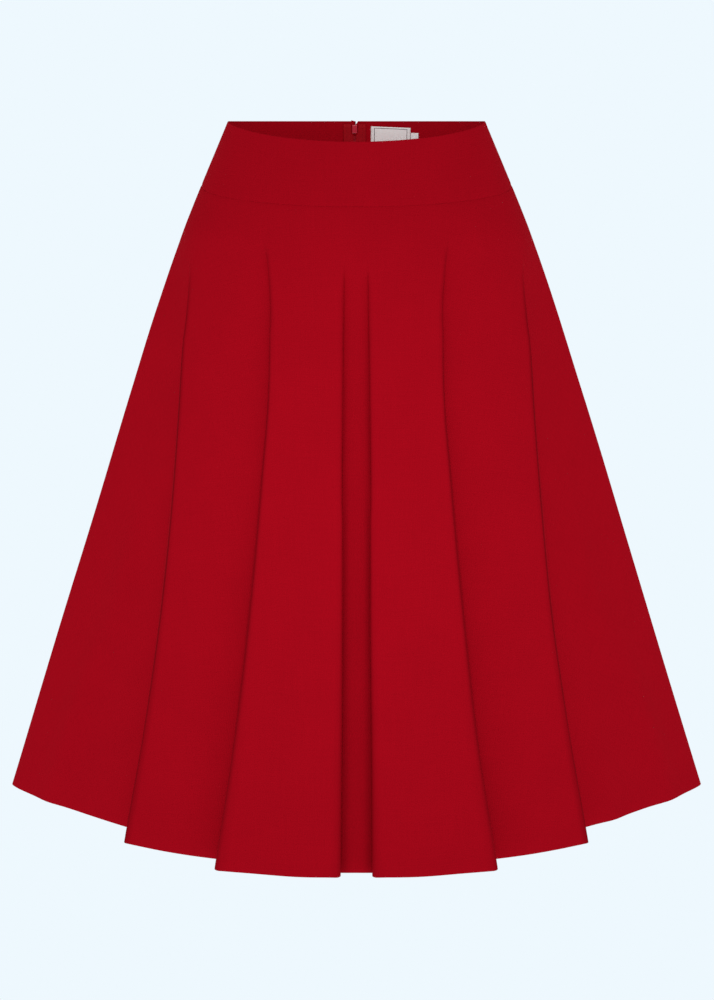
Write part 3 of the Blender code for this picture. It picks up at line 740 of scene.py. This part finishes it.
# %% Flat pattern coordinates
def flat_ring_cut(sheet, row_count, sweep):
    """Flat places on a part of a ring that sweeps an angle, and the ring's inner and outer radius."""
    columns = len(sheet[0])
    seam = sum((b - a).length for a, b in zip(sheet[0], sheet[0][1:]))
    inner = seam / sweep
    down = [0.0] * columns
    flats = []
    for i, row in enumerate(sheet):
        lengths = [0.0]
        for a, b in zip(row, row[1:]):
            lengths.append(lengths[-1] + (b - a).length)
        if i:
            down = [d + (row[j] - sheet[i - 1][j]).length for j, d in enumerate(down)]
        flats.append([((inner + down[j]) * math.sin(sweep * (lengths[j] / lengths[-1] - 0.5)),
                       -(inner + down[j]) * math.cos(sweep * (lengths[j] / lengths[-1] - 0.5)))
                      for j in range(columns)])
        if i == row_count - 1:
            outer = inner + sum(down) / columns
    return flats, inner, outer


def flat_strip_cut(sheet):
    """Flat places on a strip that is nearly straight."""
    flats = []
    down = [0.0] * len(sheet[0])
    for i, row in enumerate(sheet):
        lengths = [0.0]
        for a, b in zip(row, row[1:]):
            lengths.append(lengths[-1] + (b - a).length)
        if i:
            down = [d + (row[j] - sheet[i - 1][j]).length for j, d in enumerate(down)]
        flats.append([(length - lengths[-1] / 2, -d) for length, d in zip(lengths, down)])
    return flats, max(down), max(lengths)


# %% [markdown]
# ## Red crepe
# The cloth is a matt stretch crepe, woven from tightly twisted yarn. The twist throws the light in all
# directions, so it has almost no gloss, and a deep dye keeps it saturated even in full light. Its surface
# is a fine pebble. Real yarns here are 0.3 mm apart, too fine to show, so the weave is drawn about four
# times coarser. Slightly thicker yarns, the slubs, run with the warp and the weft and give the faint
# streaks that keep a plain dye from looking like plastic.

# %% Crepe
PAINTED_SHADE_TONE = 0.50       # colour left under the strongest painted shade, at the sharpest fold edge


def crepe(name, colour, painted_shade_scale=1.0):
    """Matt crepe: pebble and weave as bump, slubs and uneven dye as a small change of colour, painted shade on
    top.
    """
    made, tree, shader = new_material(name)
    flat = add_node(tree, "ShaderNodeUVMap", uv_map="flat_cut").outputs["UV"]

    def streaks(across_mm, along_mm, turned, seed):
        """Noise drawn out along one thread direction."""
        wide, long = 1000 / across_mm, 1000 / along_mm
        scale = (long, wide, 1.0) if turned else (wide, long, 1.0)
        where = add_node(tree, "ShaderNodeMapping", {"Vector": flat, "Location": (seed, seed, 0.0),
                                                     "Scale": scale})
        return add_node(tree, "ShaderNodeTexNoise", {"Vector": where.outputs["Vector"], "Scale": 1.0,
                                                     "Detail": 2.0}).outputs["Fac"]

    warp = streaks(1.4, 45.0, False, 3.0)
    weft = streaks(1.4, 38.0, True, 11.0)
    dye = add_node(tree, "ShaderNodeTexNoise", {"Vector": flat, "Scale": 1000 / 55, "Detail": 3.0})
    slub = add_node(tree, "ShaderNodeMath", {0: warp, 1: weft}, operation="ADD").outputs["Value"]
    shade = add_node(tree, "ShaderNodeMath", {0: slub, 1: dye.outputs["Fac"]}, operation="ADD")
    tone = add_node(tree, "ShaderNodeMapRange", {"Value": shade.outputs["Value"], "From Min": 1.1,
                                                 "From Max": 1.9, "To Min": 0.965, "To Max": 1.035})
    # painted shade: darker colour along fold edges and below the yoke seam, read from a point attribute
    painted_shade = add_node(tree, "ShaderNodeAttribute", attribute_name="painted_shade").outputs["Fac"]
    painted_darkening = add_node(tree, "ShaderNodeMapRange", {"Value": painted_shade, "To Min": 1.0, "To Max": PAINTED_SHADE_TONE})
    tone = add_node(tree, "ShaderNodeMath", {0: tone.outputs["Result"], 1: painted_darkening.outputs["Result"]},
                    operation="MULTIPLY")
    # painted shade: a scale under 1 makes a darker copy of the same crepe
    base = [channel * painted_shade_scale for channel in linear(colour)[:3]]
    dyed = add_node(tree, "ShaderNodeVectorMath", {0: base, "Scale": tone.outputs["Value"]},
                    operation="SCALE")
    pebble = add_node(tree, "ShaderNodeTexNoise", {"Vector": flat, "Scale": 1000 / 1.1, "Detail": 2.0,
                                                   "Roughness": 0.6}).outputs["Fac"]
    warp_ribs = add_node(tree, "ShaderNodeTexWave", {"Vector": flat, "Scale": 1000 / 1.2 / 6.283,
                                                     "Distortion": 1.5, "Detail Scale": 2.0},
                         bands_direction="X").outputs["Fac"]
    weft_ribs = add_node(tree, "ShaderNodeTexWave", {"Vector": flat, "Scale": 1000 / 1.2 / 6.283,
                                                     "Distortion": 1.5, "Detail Scale": 2.0},
                         bands_direction="Y").outputs["Fac"]
    ribs = add_node(tree, "ShaderNodeMath", {0: warp_ribs, 1: weft_ribs}, operation="MULTIPLY")
    grain = add_node(tree, "ShaderNodeMath", {0: pebble, 1: ribs.outputs["Value"]}, operation="ADD")
    grain = add_node(tree, "ShaderNodeMath", {0: grain.outputs["Value"], 1: slub}, operation="ADD")
    bump = add_node(tree, "ShaderNodeBump", {"Height": grain.outputs["Value"], "Strength": 0.35,
                                             "Distance": 0.0003})
    rough = add_node(tree, "ShaderNodeMapRange", {"Value": pebble, "To Min": 0.86, "To Max": 0.98})
    tree.links.new(dyed.outputs["Vector"], shader.inputs["Base Color"])
    tree.links.new(rough.outputs["Result"], shader.inputs["Roughness"])
    tree.links.new(bump.outputs["Normal"], shader.inputs["Normal"])
    shader.inputs["Specular IOR Level"].default_value = 0.008
    return made


CREPE_RED = "#AC091A"
skirt_crepe = crepe("red_woven_crepe", CREPE_RED)
# painted shade: the yoke's copy of the crepe is darker, for the dimmer light at the top of the skirt
yoke_crepe = crepe("red_woven_crepe_painted_darker", CREPE_RED, 0.95)

# %% [markdown]
# ## The skirt panels
# A circle skirt is cut as rings. Here the front is a quarter ring on the fold and each back is an eighth,
# so the whole is a half circle. Each panel replaces its solid and rides on the garment's one body. The size
# it was cut to is worked out too, with the hem's turning as part of that size.

# %% Skirt panels
def quarter_counts(lengths):
    """The column numbers of the seams: centre back, right side, left side, centre back."""
    back_right, front_right, front_left, back_left = lengths
    right = back_right - 1
    left = right + front_right + front_left - 2
    return 0, right, left, left + back_left - 1


skirt_cuts = quarter_counts([len(quarter.angles(SEAM_DROP_SIDE)) for quarter in QUARTERS])
yoke_cuts = quarter_counts([len(yoke_angles(quarter, 0.0)) for quarter in QUARTERS])
skirt_normals = row_normals(skirt_rows)
yoke_normals = row_normals(yoke_rows)


HEM_STITCH_IN = CLOTH_THICK + 0.00010
hem_edges = []


def make_skirt_panel(side, first, last, sweep, zip_edge=None):
    node = "skirt_" + side
    sheet = panel_sheet(skirt_rows, skirt_normals, first, last, True, False, zip_edge)
    sheet = add_hem(sheet, skirt_normals, first)
    hem_edges.append([point - normal * HEM_STITCH_IN
                      for point, normal in zip(sheet[-1], skirt_normals[-1][first:])][2:-2])
    flats, inner, outer = flat_ring_cut(sheet, len(skirt_rows), sweep)
    outer += HEM_TURNING
    # the painted shade of the panel's points; the hem's turning repeats the last row
    painted_shade = [row[first:last + 1] for row in skirt_painted_shade]
    painted_shade += [painted_shade[-1]] * (len(sheet) - len(painted_shade))
    panel = sheet_object(node + "_cloth", sheet, flats, skirt_crepe, CLOTH_THICK, painted_shade)
    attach(panel, WORN)
    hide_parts(node)
    return panel


skirt_panels = [
    make_skirt_panel("back_right", skirt_cuts[0], skirt_cuts[1], math.pi / 4, "first"),
    make_skirt_panel("front", skirt_cuts[1], skirt_cuts[2], math.pi / 2),
    make_skirt_panel("back_left", skirt_cuts[2], skirt_cuts[3], math.pi / 4, "last"),
]


# %% Yoke panels
YOKE_THICK = 0.0012       # cloth and its own facing, pressed together
WAIST_ROUND = 0.0004      # how far the waist edge is rounded over


def make_yoke_panel(node, first, last, zip_edge=None):
    sheet = panel_sheet(yoke_rows, yoke_normals, first, last, False, True, zip_edge)
    sheet[0] = [point - normal * WAIST_ROUND for point, normal in zip(sheet[0], yoke_normals[0][first:])]
    flats, length, width = flat_strip_cut(sheet)
    panel = sheet_object(node + "_cloth", sheet, flats, yoke_crepe, YOKE_THICK)
    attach(panel, WORN)
    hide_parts(node)
    print(f"{node}: flat {width:.3f} by {length:.3f} m")
    return panel


yoke_panels = [
    make_yoke_panel("yoke_back_right", yoke_cuts[0], yoke_cuts[1], "first"),
    make_yoke_panel("yoke_front", yoke_cuts[1], yoke_cuts[2]),
    make_yoke_panel("yoke_back_left", yoke_cuts[2], yoke_cuts[3], "last"),
]

# %% [markdown]
# ## What lies inside the back
# A zip, a label and a size tab are sewn to the inside of the back, and show over the dipped front edge.
# Each follows the back's own surface, moved in by the cloth and a small gap. The zip is a concealed one:
# two woven tapes, a fine coil on each, a slider that stays inside, and a pull that hangs outside. The
# label is white satin, woven in a border and left bare. It was sewn on by hand, so it sits a little askew.

# %% Strips inside the back
Edge = namedtuple("Edge", "drop half_gap")
TAPE_EDGES = (
    Edge(0.0024, 0.0040),
    Edge(0.0070, 0.0031),
    Edge(0.0122, 0.0031),
    Edge(0.0152, 0.0004),
)
ZIP_LENGTH = 0.205
TAPE_WIDTH = 0.012
TAPE_THICK = 0.0005
INSIDE = 0.0018           # from the outside of the back to what is sewn inside it
Patch = namedtuple("Patch", "x_from x_to drop_from drop_to askew thick")
LABEL = Patch(0.0153, 0.0574, 0.0048, 0.0250, 0.040, 0.0004)
SIZE_TAB = Patch(0.0580, 0.0658, 0.0116, 0.0272, 0.020, 0.0008)
PATCH_STEPS = 16


def back_wall(x, drop, inset):
    """A point at a place across the back and a drop, so far in from the back's outer face."""
    def surface(at_x, at_drop):
        width, depth = QUARTERS[-1].half_sizes(at_drop)
        return Vector((at_x, depth * math.sqrt(1 - (at_x / width) ** 2), -at_drop))
    little = 0.001
    point = surface(x, drop)
    normal = (surface(x + little, drop) - point).cross(surface(x, drop + little) - point).normalized()
    return point - normal * math.copysign(inset, normal.y)


def strip_object(name, edges, inset, columns, cloth, thick, bulge=0.0):
    """A strip inside the back. Each edge is a drop for both ends, and the ends across, from +X to -X."""
    sheet = []
    for i, (drops, x_from, x_to) in enumerate(edges):
        row = []
        for k in range(columns + 1):
            share = k / columns
            out = bulge * math.sin(math.pi * share) * math.sin(math.pi * i / (len(edges) - 1))
            row.append(back_wall(x_from + (x_to - x_from) * share,
                                 drops[0] + (drops[1] - drops[0]) * share, inset + out))
        sheet.append(row)
    flats, length, width = flat_strip_cut(sheet)
    return sheet_object(name, sheet, flats, cloth, thick), width, length


# %% Materials of the trims
def twill(name, colour):
    """Woven polyester tape: herringbone ribs as bump, smooth filament yarn with a low gloss."""
    made, tree, shader = new_material(name)
    flat = add_node(tree, "ShaderNodeUVMap", uv_map="flat_cut").outputs["UV"]
    ribs = add_node(tree, "ShaderNodeTexWave", {"Vector": flat, "Scale": 1000 / 1.0 / 6.283,
                                                "Distortion": 0.6}, bands_direction="DIAGONAL")
    yarn = add_node(tree, "ShaderNodeTexNoise", {"Vector": flat, "Scale": 1000 / 2.5, "Detail": 2.0})
    tone = add_node(tree, "ShaderNodeMapRange", {"Value": yarn.outputs["Fac"], "To Min": 0.92,
                                                 "To Max": 1.06})
    dyed = add_node(tree, "ShaderNodeVectorMath", {0: linear(colour)[:3], "Scale": tone.outputs["Result"]},
                    operation="SCALE")
    bump = add_node(tree, "ShaderNodeBump", {"Height": ribs.outputs["Fac"], "Strength": 0.4,
                                             "Distance": 0.0002})
    tree.links.new(dyed.outputs["Vector"], shader.inputs["Base Color"])
    tree.links.new(bump.outputs["Normal"], shader.inputs["Normal"])
    shader.inputs["Roughness"].default_value = 0.75
    shader.inputs["Specular IOR Level"].default_value = 0.10
    return made


def satin(name, colour, line_colour=None, half_size=None):
    """White satin: long floats as fine ribs, and a smooth sheen. A border line can be woven in."""
    made, tree, shader = new_material(name)
    flat = add_node(tree, "ShaderNodeUVMap", uv_map="flat_cut").outputs["UV"]
    floats = add_node(tree, "ShaderNodeTexWave", {"Vector": flat, "Scale": 1000 / 0.6 / 6.283,
                                                  "Distortion": 1.0}, bands_direction="Y")
    yarn = add_node(tree, "ShaderNodeTexNoise", {"Vector": flat, "Scale": 1000 / 4.0, "Detail": 2.0})
    tone = add_node(tree, "ShaderNodeMapRange", {"Value": yarn.outputs["Fac"], "To Min": 0.97,
                                                 "To Max": 1.02})
    dyed = add_node(tree, "ShaderNodeVectorMath", {0: linear(colour)[:3], "Scale": tone.outputs["Result"]},
                    operation="SCALE").outputs["Vector"]
    if line_colour:
        middle = add_node(tree, "ShaderNodeVectorMath", {0: flat, 1: (0.0, half_size[1] + BORDER_IN[1], 0.0)})
        away = add_node(tree, "ShaderNodeVectorMath", {0: middle.outputs["Vector"]}, operation="ABSOLUTE")
        over = add_node(tree, "ShaderNodeVectorMath", {0: away.outputs["Vector"], 1: (*half_size, 0.0)},
                        operation="SUBTRACT")
        sides = add_node(tree, "ShaderNodeSeparateXYZ", {0: over.outputs["Vector"]})
        gap = add_node(tree, "ShaderNodeMath", {0: sides.outputs["X"], 1: sides.outputs["Y"]},
                       operation="MAXIMUM")
        gap = add_node(tree, "ShaderNodeMath", {0: gap.outputs["Value"]}, operation="ABSOLUTE")
        line = add_node(tree, "ShaderNodeMapRange", {"Value": gap.outputs["Value"], "From Min": 0.00025,
                                                     "From Max": 0.00040, "To Min": 1.0, "To Max": 0.0})
        mix = add_node(tree, "ShaderNodeMix", {0: line.outputs["Result"]}, data_type="RGBA")
        tree.links.new(dyed, mix.inputs[6])
        mix.inputs[7].default_value = linear(line_colour)
        dyed = mix.outputs[2]
    bump = add_node(tree, "ShaderNodeBump", {"Height": floats.outputs["Fac"], "Strength": 0.25,
                                             "Distance": 0.0001})
    tree.links.new(dyed, shader.inputs["Base Color"])
    tree.links.new(bump.outputs["Normal"], shader.inputs["Normal"])
    shader.inputs["Roughness"].default_value = 0.38
    shader.inputs["Specular IOR Level"].default_value = 0.45
    return made


def enamel(name, colour):
    """Enamel baked on die-cast metal: glossy, with the faint unevenness of a thin coat."""
    made, tree, shader = new_material(name)
    place = add_node(tree, "ShaderNodeTexCoord").outputs["Object"]
    coat = add_node(tree, "ShaderNodeTexNoise", {"Vector": place, "Scale": 1000 / 1.5, "Detail": 3.0})
    tone = add_node(tree, "ShaderNodeMapRange", {"Value": coat.outputs["Fac"], "To Min": 0.90,
                                                 "To Max": 1.08})
    painted = add_node(tree, "ShaderNodeVectorMath", {0: linear(colour)[:3],
                                                      "Scale": tone.outputs["Result"]}, operation="SCALE")
    gloss = add_node(tree, "ShaderNodeMapRange", {"Value": coat.outputs["Fac"], "To Min": 0.18,
                                                  "To Max": 0.34})
    bump = add_node(tree, "ShaderNodeBump", {"Height": coat.outputs["Fac"], "Strength": 0.1,
                                             "Distance": 0.0001})
    tree.links.new(painted.outputs["Vector"], shader.inputs["Base Color"])
    tree.links.new(gloss.outputs["Result"], shader.inputs["Roughness"])
    tree.links.new(bump.outputs["Normal"], shader.inputs["Normal"])
    return made


def thread(name, colour, gloss):
    """Spun thread or nylon filament: fine twist as bump, uneven dye, and the fibre's own gloss."""
    made, tree, shader = new_material(name)
    place = add_node(tree, "ShaderNodeTexCoord").outputs["Object"]
    twist = add_node(tree, "ShaderNodeTexNoise", {"Vector": place, "Scale": 1000 / 0.4, "Detail": 1.0})
    tone = add_node(tree, "ShaderNodeMapRange", {"Value": twist.outputs["Fac"], "To Min": 0.85,
                                                 "To Max": 1.10})
    dyed = add_node(tree, "ShaderNodeVectorMath", {0: linear(colour)[:3], "Scale": tone.outputs["Result"]},
                    operation="SCALE")
    bump = add_node(tree, "ShaderNodeBump", {"Height": twist.outputs["Fac"], "Strength": 0.3,
                                             "Distance": 0.0001})
    tree.links.new(dyed.outputs["Vector"], shader.inputs["Base Color"])
    tree.links.new(bump.outputs["Normal"], shader.inputs["Normal"])
    shader.inputs["Roughness"].default_value = 1 - gloss
    shader.inputs["Specular IOR Level"].default_value = 0.5 * gloss
    return made


BORDER_IN = (0.0036, 0.0017)   # the label's border lies this far in from its ends and from its top
label_half = ((LABEL.x_to - LABEL.x_from) / 2 - BORDER_IN[0],
              (LABEL.drop_to - LABEL.drop_from) / 2 - BORDER_IN[1])
tape_twill = twill("red_zip_tape_twill", "#A80918")
label_satin = satin("white_satin_with_grey_border", "#FFFEFD", "#5E5A5C", label_half)
tab_satin = satin("white_satin", "#FFFEFD")
slider_enamel = enamel("red_enamelled_metal", "#C93044")
red_thread = thread("red_sewing_thread", "#A80C1E", 0.25)
white_thread = thread("white_sewing_thread", "#F0EEEC", 0.25)
coil_nylon = thread("red_nylon_coil", "#B21022", 0.40)

# %% Zip tapes, label and size tab
def add_tape(side, x_sign):
    last = TAPE_EDGES[-1]
    inner = [(edge.drop, edge.half_gap) for edge in TAPE_EDGES]
    inner += [(drop, last.half_gap) for drop in steps(last.drop, ZIP_LENGTH, 40)]
    edges = []
    for drop, half_gap in inner:
        ends = sorted((ZIP_X + x_sign * half_gap, ZIP_X + x_sign * TAPE_WIDTH), reverse=True)
        edges.append(((drop, drop), *ends))
    tape, width, length = strip_object("zip_tape_" + side + "_woven", edges, INSIDE, 6, tape_twill, TAPE_THICK)
    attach(tape, WORN)
    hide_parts("zip_tape_" + side)
    print(f"zip_tape_{side}: flat {width:.4f} by {length:.3f} m")


def patch_strip(name, patch, cloth, bulge):
    drops = [patch.drop_from] + steps(patch.drop_from, patch.drop_to, PATCH_STEPS)
    lower = patch.askew * (patch.x_to - patch.x_from)
    edges = [((drop + lower, drop), patch.x_to, patch.x_from) for drop in drops]
    return strip_object(name, edges, INSIDE, PATCH_STEPS, cloth, patch.thick, bulge)


add_tape("right", -1)
add_tape("left", 1)
label, label_width, label_length = patch_strip("label_woven", LABEL, label_satin, 0.0008)
size_tab, tab_width, tab_length = patch_strip("size_tab_folded", SIZE_TAB, tab_satin, 0.0004)
for piece, node in ((label, "label"), (size_tab, "size_tab")):
    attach(piece, WORN)
    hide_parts(node)
print(f"label: flat {label_width:.4f} by {label_length:.4f} m")
for node in ("zip_slider", "zip_pull"):
    for k in range(len(bpy.data.objects[node].material_slots)):
        bpy.data.objects[node].material_slots[k].material = slider_enamel

# %% [markdown]
# ## Stitches and the zip's coil
# What repeats along a path is one Geometry Nodes tree. It sets a point at every spacing along a path,
# puts a small spindle of thread on each, and lays it along the path or across it. Stitches lie along
# their seam. The coil's turns lie across the zip. A fixed seed makes the lengths a little uneven.

# %% A tree that lays threads along a path
def thread_tree():
    tree = bpy.data.node_groups.new("threads_on_a_path", "GeometryNodeTree")
    face = tree.interface
    face.new_socket("Geometry", in_out="INPUT", socket_type="NodeSocketGeometry")
    for socket in ("Spacing", "Length", "Radius", "Follow", "Unevenness"):
        face.new_socket(socket, in_out="INPUT", socket_type="NodeSocketFloat")
    face.new_socket("Across", in_out="INPUT", socket_type="NodeSocketVector")
    face.new_socket("Seed", in_out="INPUT", socket_type="NodeSocketInt")
    face.new_socket("Material", in_out="INPUT", socket_type="NodeSocketMaterial")
    face.new_socket("Geometry", in_out="OUTPUT", socket_type="NodeSocketGeometry")
    given = add_node(tree, "NodeGroupInput").outputs
    curve = add_node(tree, "GeometryNodeMeshToCurve", {0: given["Geometry"]})
    places = add_node(tree, "GeometryNodeResampleCurve", {"Curve": curve.outputs[0],
                                                          "Length": given["Spacing"]}, mode="LENGTH")
    spindle = add_node(tree, "GeometryNodeMeshUVSphere", {"Segments": 6, "Rings": 5, "Radius": 1.0})
    tangent = add_node(tree, "GeometryNodeInputTangent").outputs["Tangent"]
    way = add_node(tree, "ShaderNodeMix", {0: given["Follow"]}, data_type="VECTOR")
    tree.links.new(given["Across"], way.inputs[4])
    tree.links.new(tangent, way.inputs[5])
    turned = add_node(tree, "FunctionNodeAlignRotationToVector", {"Vector": way.outputs[1]}, axis="Z")
    low = add_node(tree, "ShaderNodeMath", {0: 1.0, 1: given["Unevenness"]}, operation="SUBTRACT")
    uneven = add_node(tree, "FunctionNodeRandomValue", {"Seed": given["Seed"]}, data_type="FLOAT")
    tree.links.new(low.outputs["Value"], uneven.inputs[2])
    uneven.inputs[3].default_value = 1.0
    half = add_node(tree, "ShaderNodeMath", {0: given["Length"], 1: uneven.outputs[1]}, operation="MULTIPLY")
    half = add_node(tree, "ShaderNodeMath", {0: half.outputs["Value"], 1: 0.5}, operation="MULTIPLY")
    size = add_node(tree, "ShaderNodeCombineXYZ", {"X": given["Radius"], "Y": given["Radius"],
                                                   "Z": half.outputs["Value"]})
    laid = add_node(tree, "GeometryNodeInstanceOnPoints", {"Points": places.outputs["Curve"],
                                                           "Instance": spindle.outputs["Mesh"],
                                                           "Rotation": turned.outputs["Rotation"],
                                                           "Scale": size.outputs["Vector"]})
    real = add_node(tree, "GeometryNodeRealizeInstances", {"Geometry": laid.outputs["Instances"]})
    smooth_shaded = add_node(tree, "GeometryNodeSetShadeSmooth", {"Geometry": real.outputs["Geometry"]})
    painted = add_node(tree, "GeometryNodeSetMaterial", {"Geometry": smooth_shaded.outputs["Geometry"],
                                                         "Material": given["Material"]})
    add_node(tree, "NodeGroupOutput", {"Geometry": painted.outputs["Geometry"]})
    return tree


THREADS = thread_tree()


def lay_threads(name, paths, cloth, spacing, length, radius, seed, across=None, unevenness=0.15):
    """Threads along paths, as one plain mesh that rides on the garment."""
    data = bpy.data.meshes.new(name)
    points, edges = [], []
    for path in paths:
        edges += [(len(points) + k, len(points) + k + 1) for k in range(len(path) - 1)]
        points += path
    data.from_pydata(points, edges, [])
    item = bpy.data.objects.new(name, data)
    scene.collection.objects.link(item)
    nodes = item.modifiers.new("threads", "NODES")
    nodes.node_group = THREADS
    values = {"Spacing": spacing, "Length": length, "Radius": radius, "Unevenness": unevenness,
              "Follow": 0.0 if across else 1.0, "Across": across or (0.0, 0.0, 0.0), "Seed": seed,
              "Material": cloth}
    for socket in THREADS.interface.items_tree:
        if socket.in_out == "INPUT" and socket.name in values:
            nodes[socket.identifier] = values[socket.name]
    bpy.context.view_layer.update()
    shown = item.evaluated_get(bpy.context.evaluated_depsgraph_get())
    item.data = bpy.data.meshes.new_from_object(shown)
    item.modifiers.remove(nodes)
    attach(item, WORN)
    print(f"{name}: {len(item.data.polygons)} faces")
    return item


# %% Stitches and coil
COIL_RADIUS = 0.00028
TAPE_STITCH = 0.0085      # the tapes are sewn on this far from the zip's middle


def down_the_zip(offset, inset, first, last, count=60):
    return [back_wall(ZIP_X + offset, drop, inset) for drop in [first] + steps(first, last, count)]


coil_inset = INSIDE + TAPE_THICK + COIL_RADIUS
coil_start = TAPE_EDGES[-1].drop
lay_threads("zip_coil", [down_the_zip(0.0, coil_inset, coil_start, ZIP_LENGTH - 0.006)], coil_nylon,
            0.0008, 0.0034, COIL_RADIUS, 5, across=(1.0, 0.0, 0.0), unevenness=0.04)
lay_threads("zip_tape_stitches",
            [down_the_zip(x_sign * TAPE_STITCH, INSIDE + TAPE_THICK + 0.00008, 0.004, ZIP_LENGTH - 0.003)
             for x_sign in (-1, 1)], red_thread, 0.0032, 0.0027, 0.00020, 6)


def patch_ends(patch):
    """The two ends of a patch, where it is sewn down."""
    ends = []
    for x in (patch.x_from + 0.0012, patch.x_to - 0.0012):
        lower = patch.askew * (x - patch.x_from)
        drops = steps(patch.drop_from + lower, patch.drop_to + lower, 12)
        ends.append([back_wall(x, drop, INSIDE + patch.thick + 0.00008) for drop in drops])
    return ends


lay_threads("label_stitches", patch_ends(LABEL), white_thread, 0.0028, 0.0020, 0.00016, 7)

lay_threads("hem_stitches", hem_edges, red_thread, 0.0090, 0.0042, 0.00022, 8,
            unevenness=0.35)
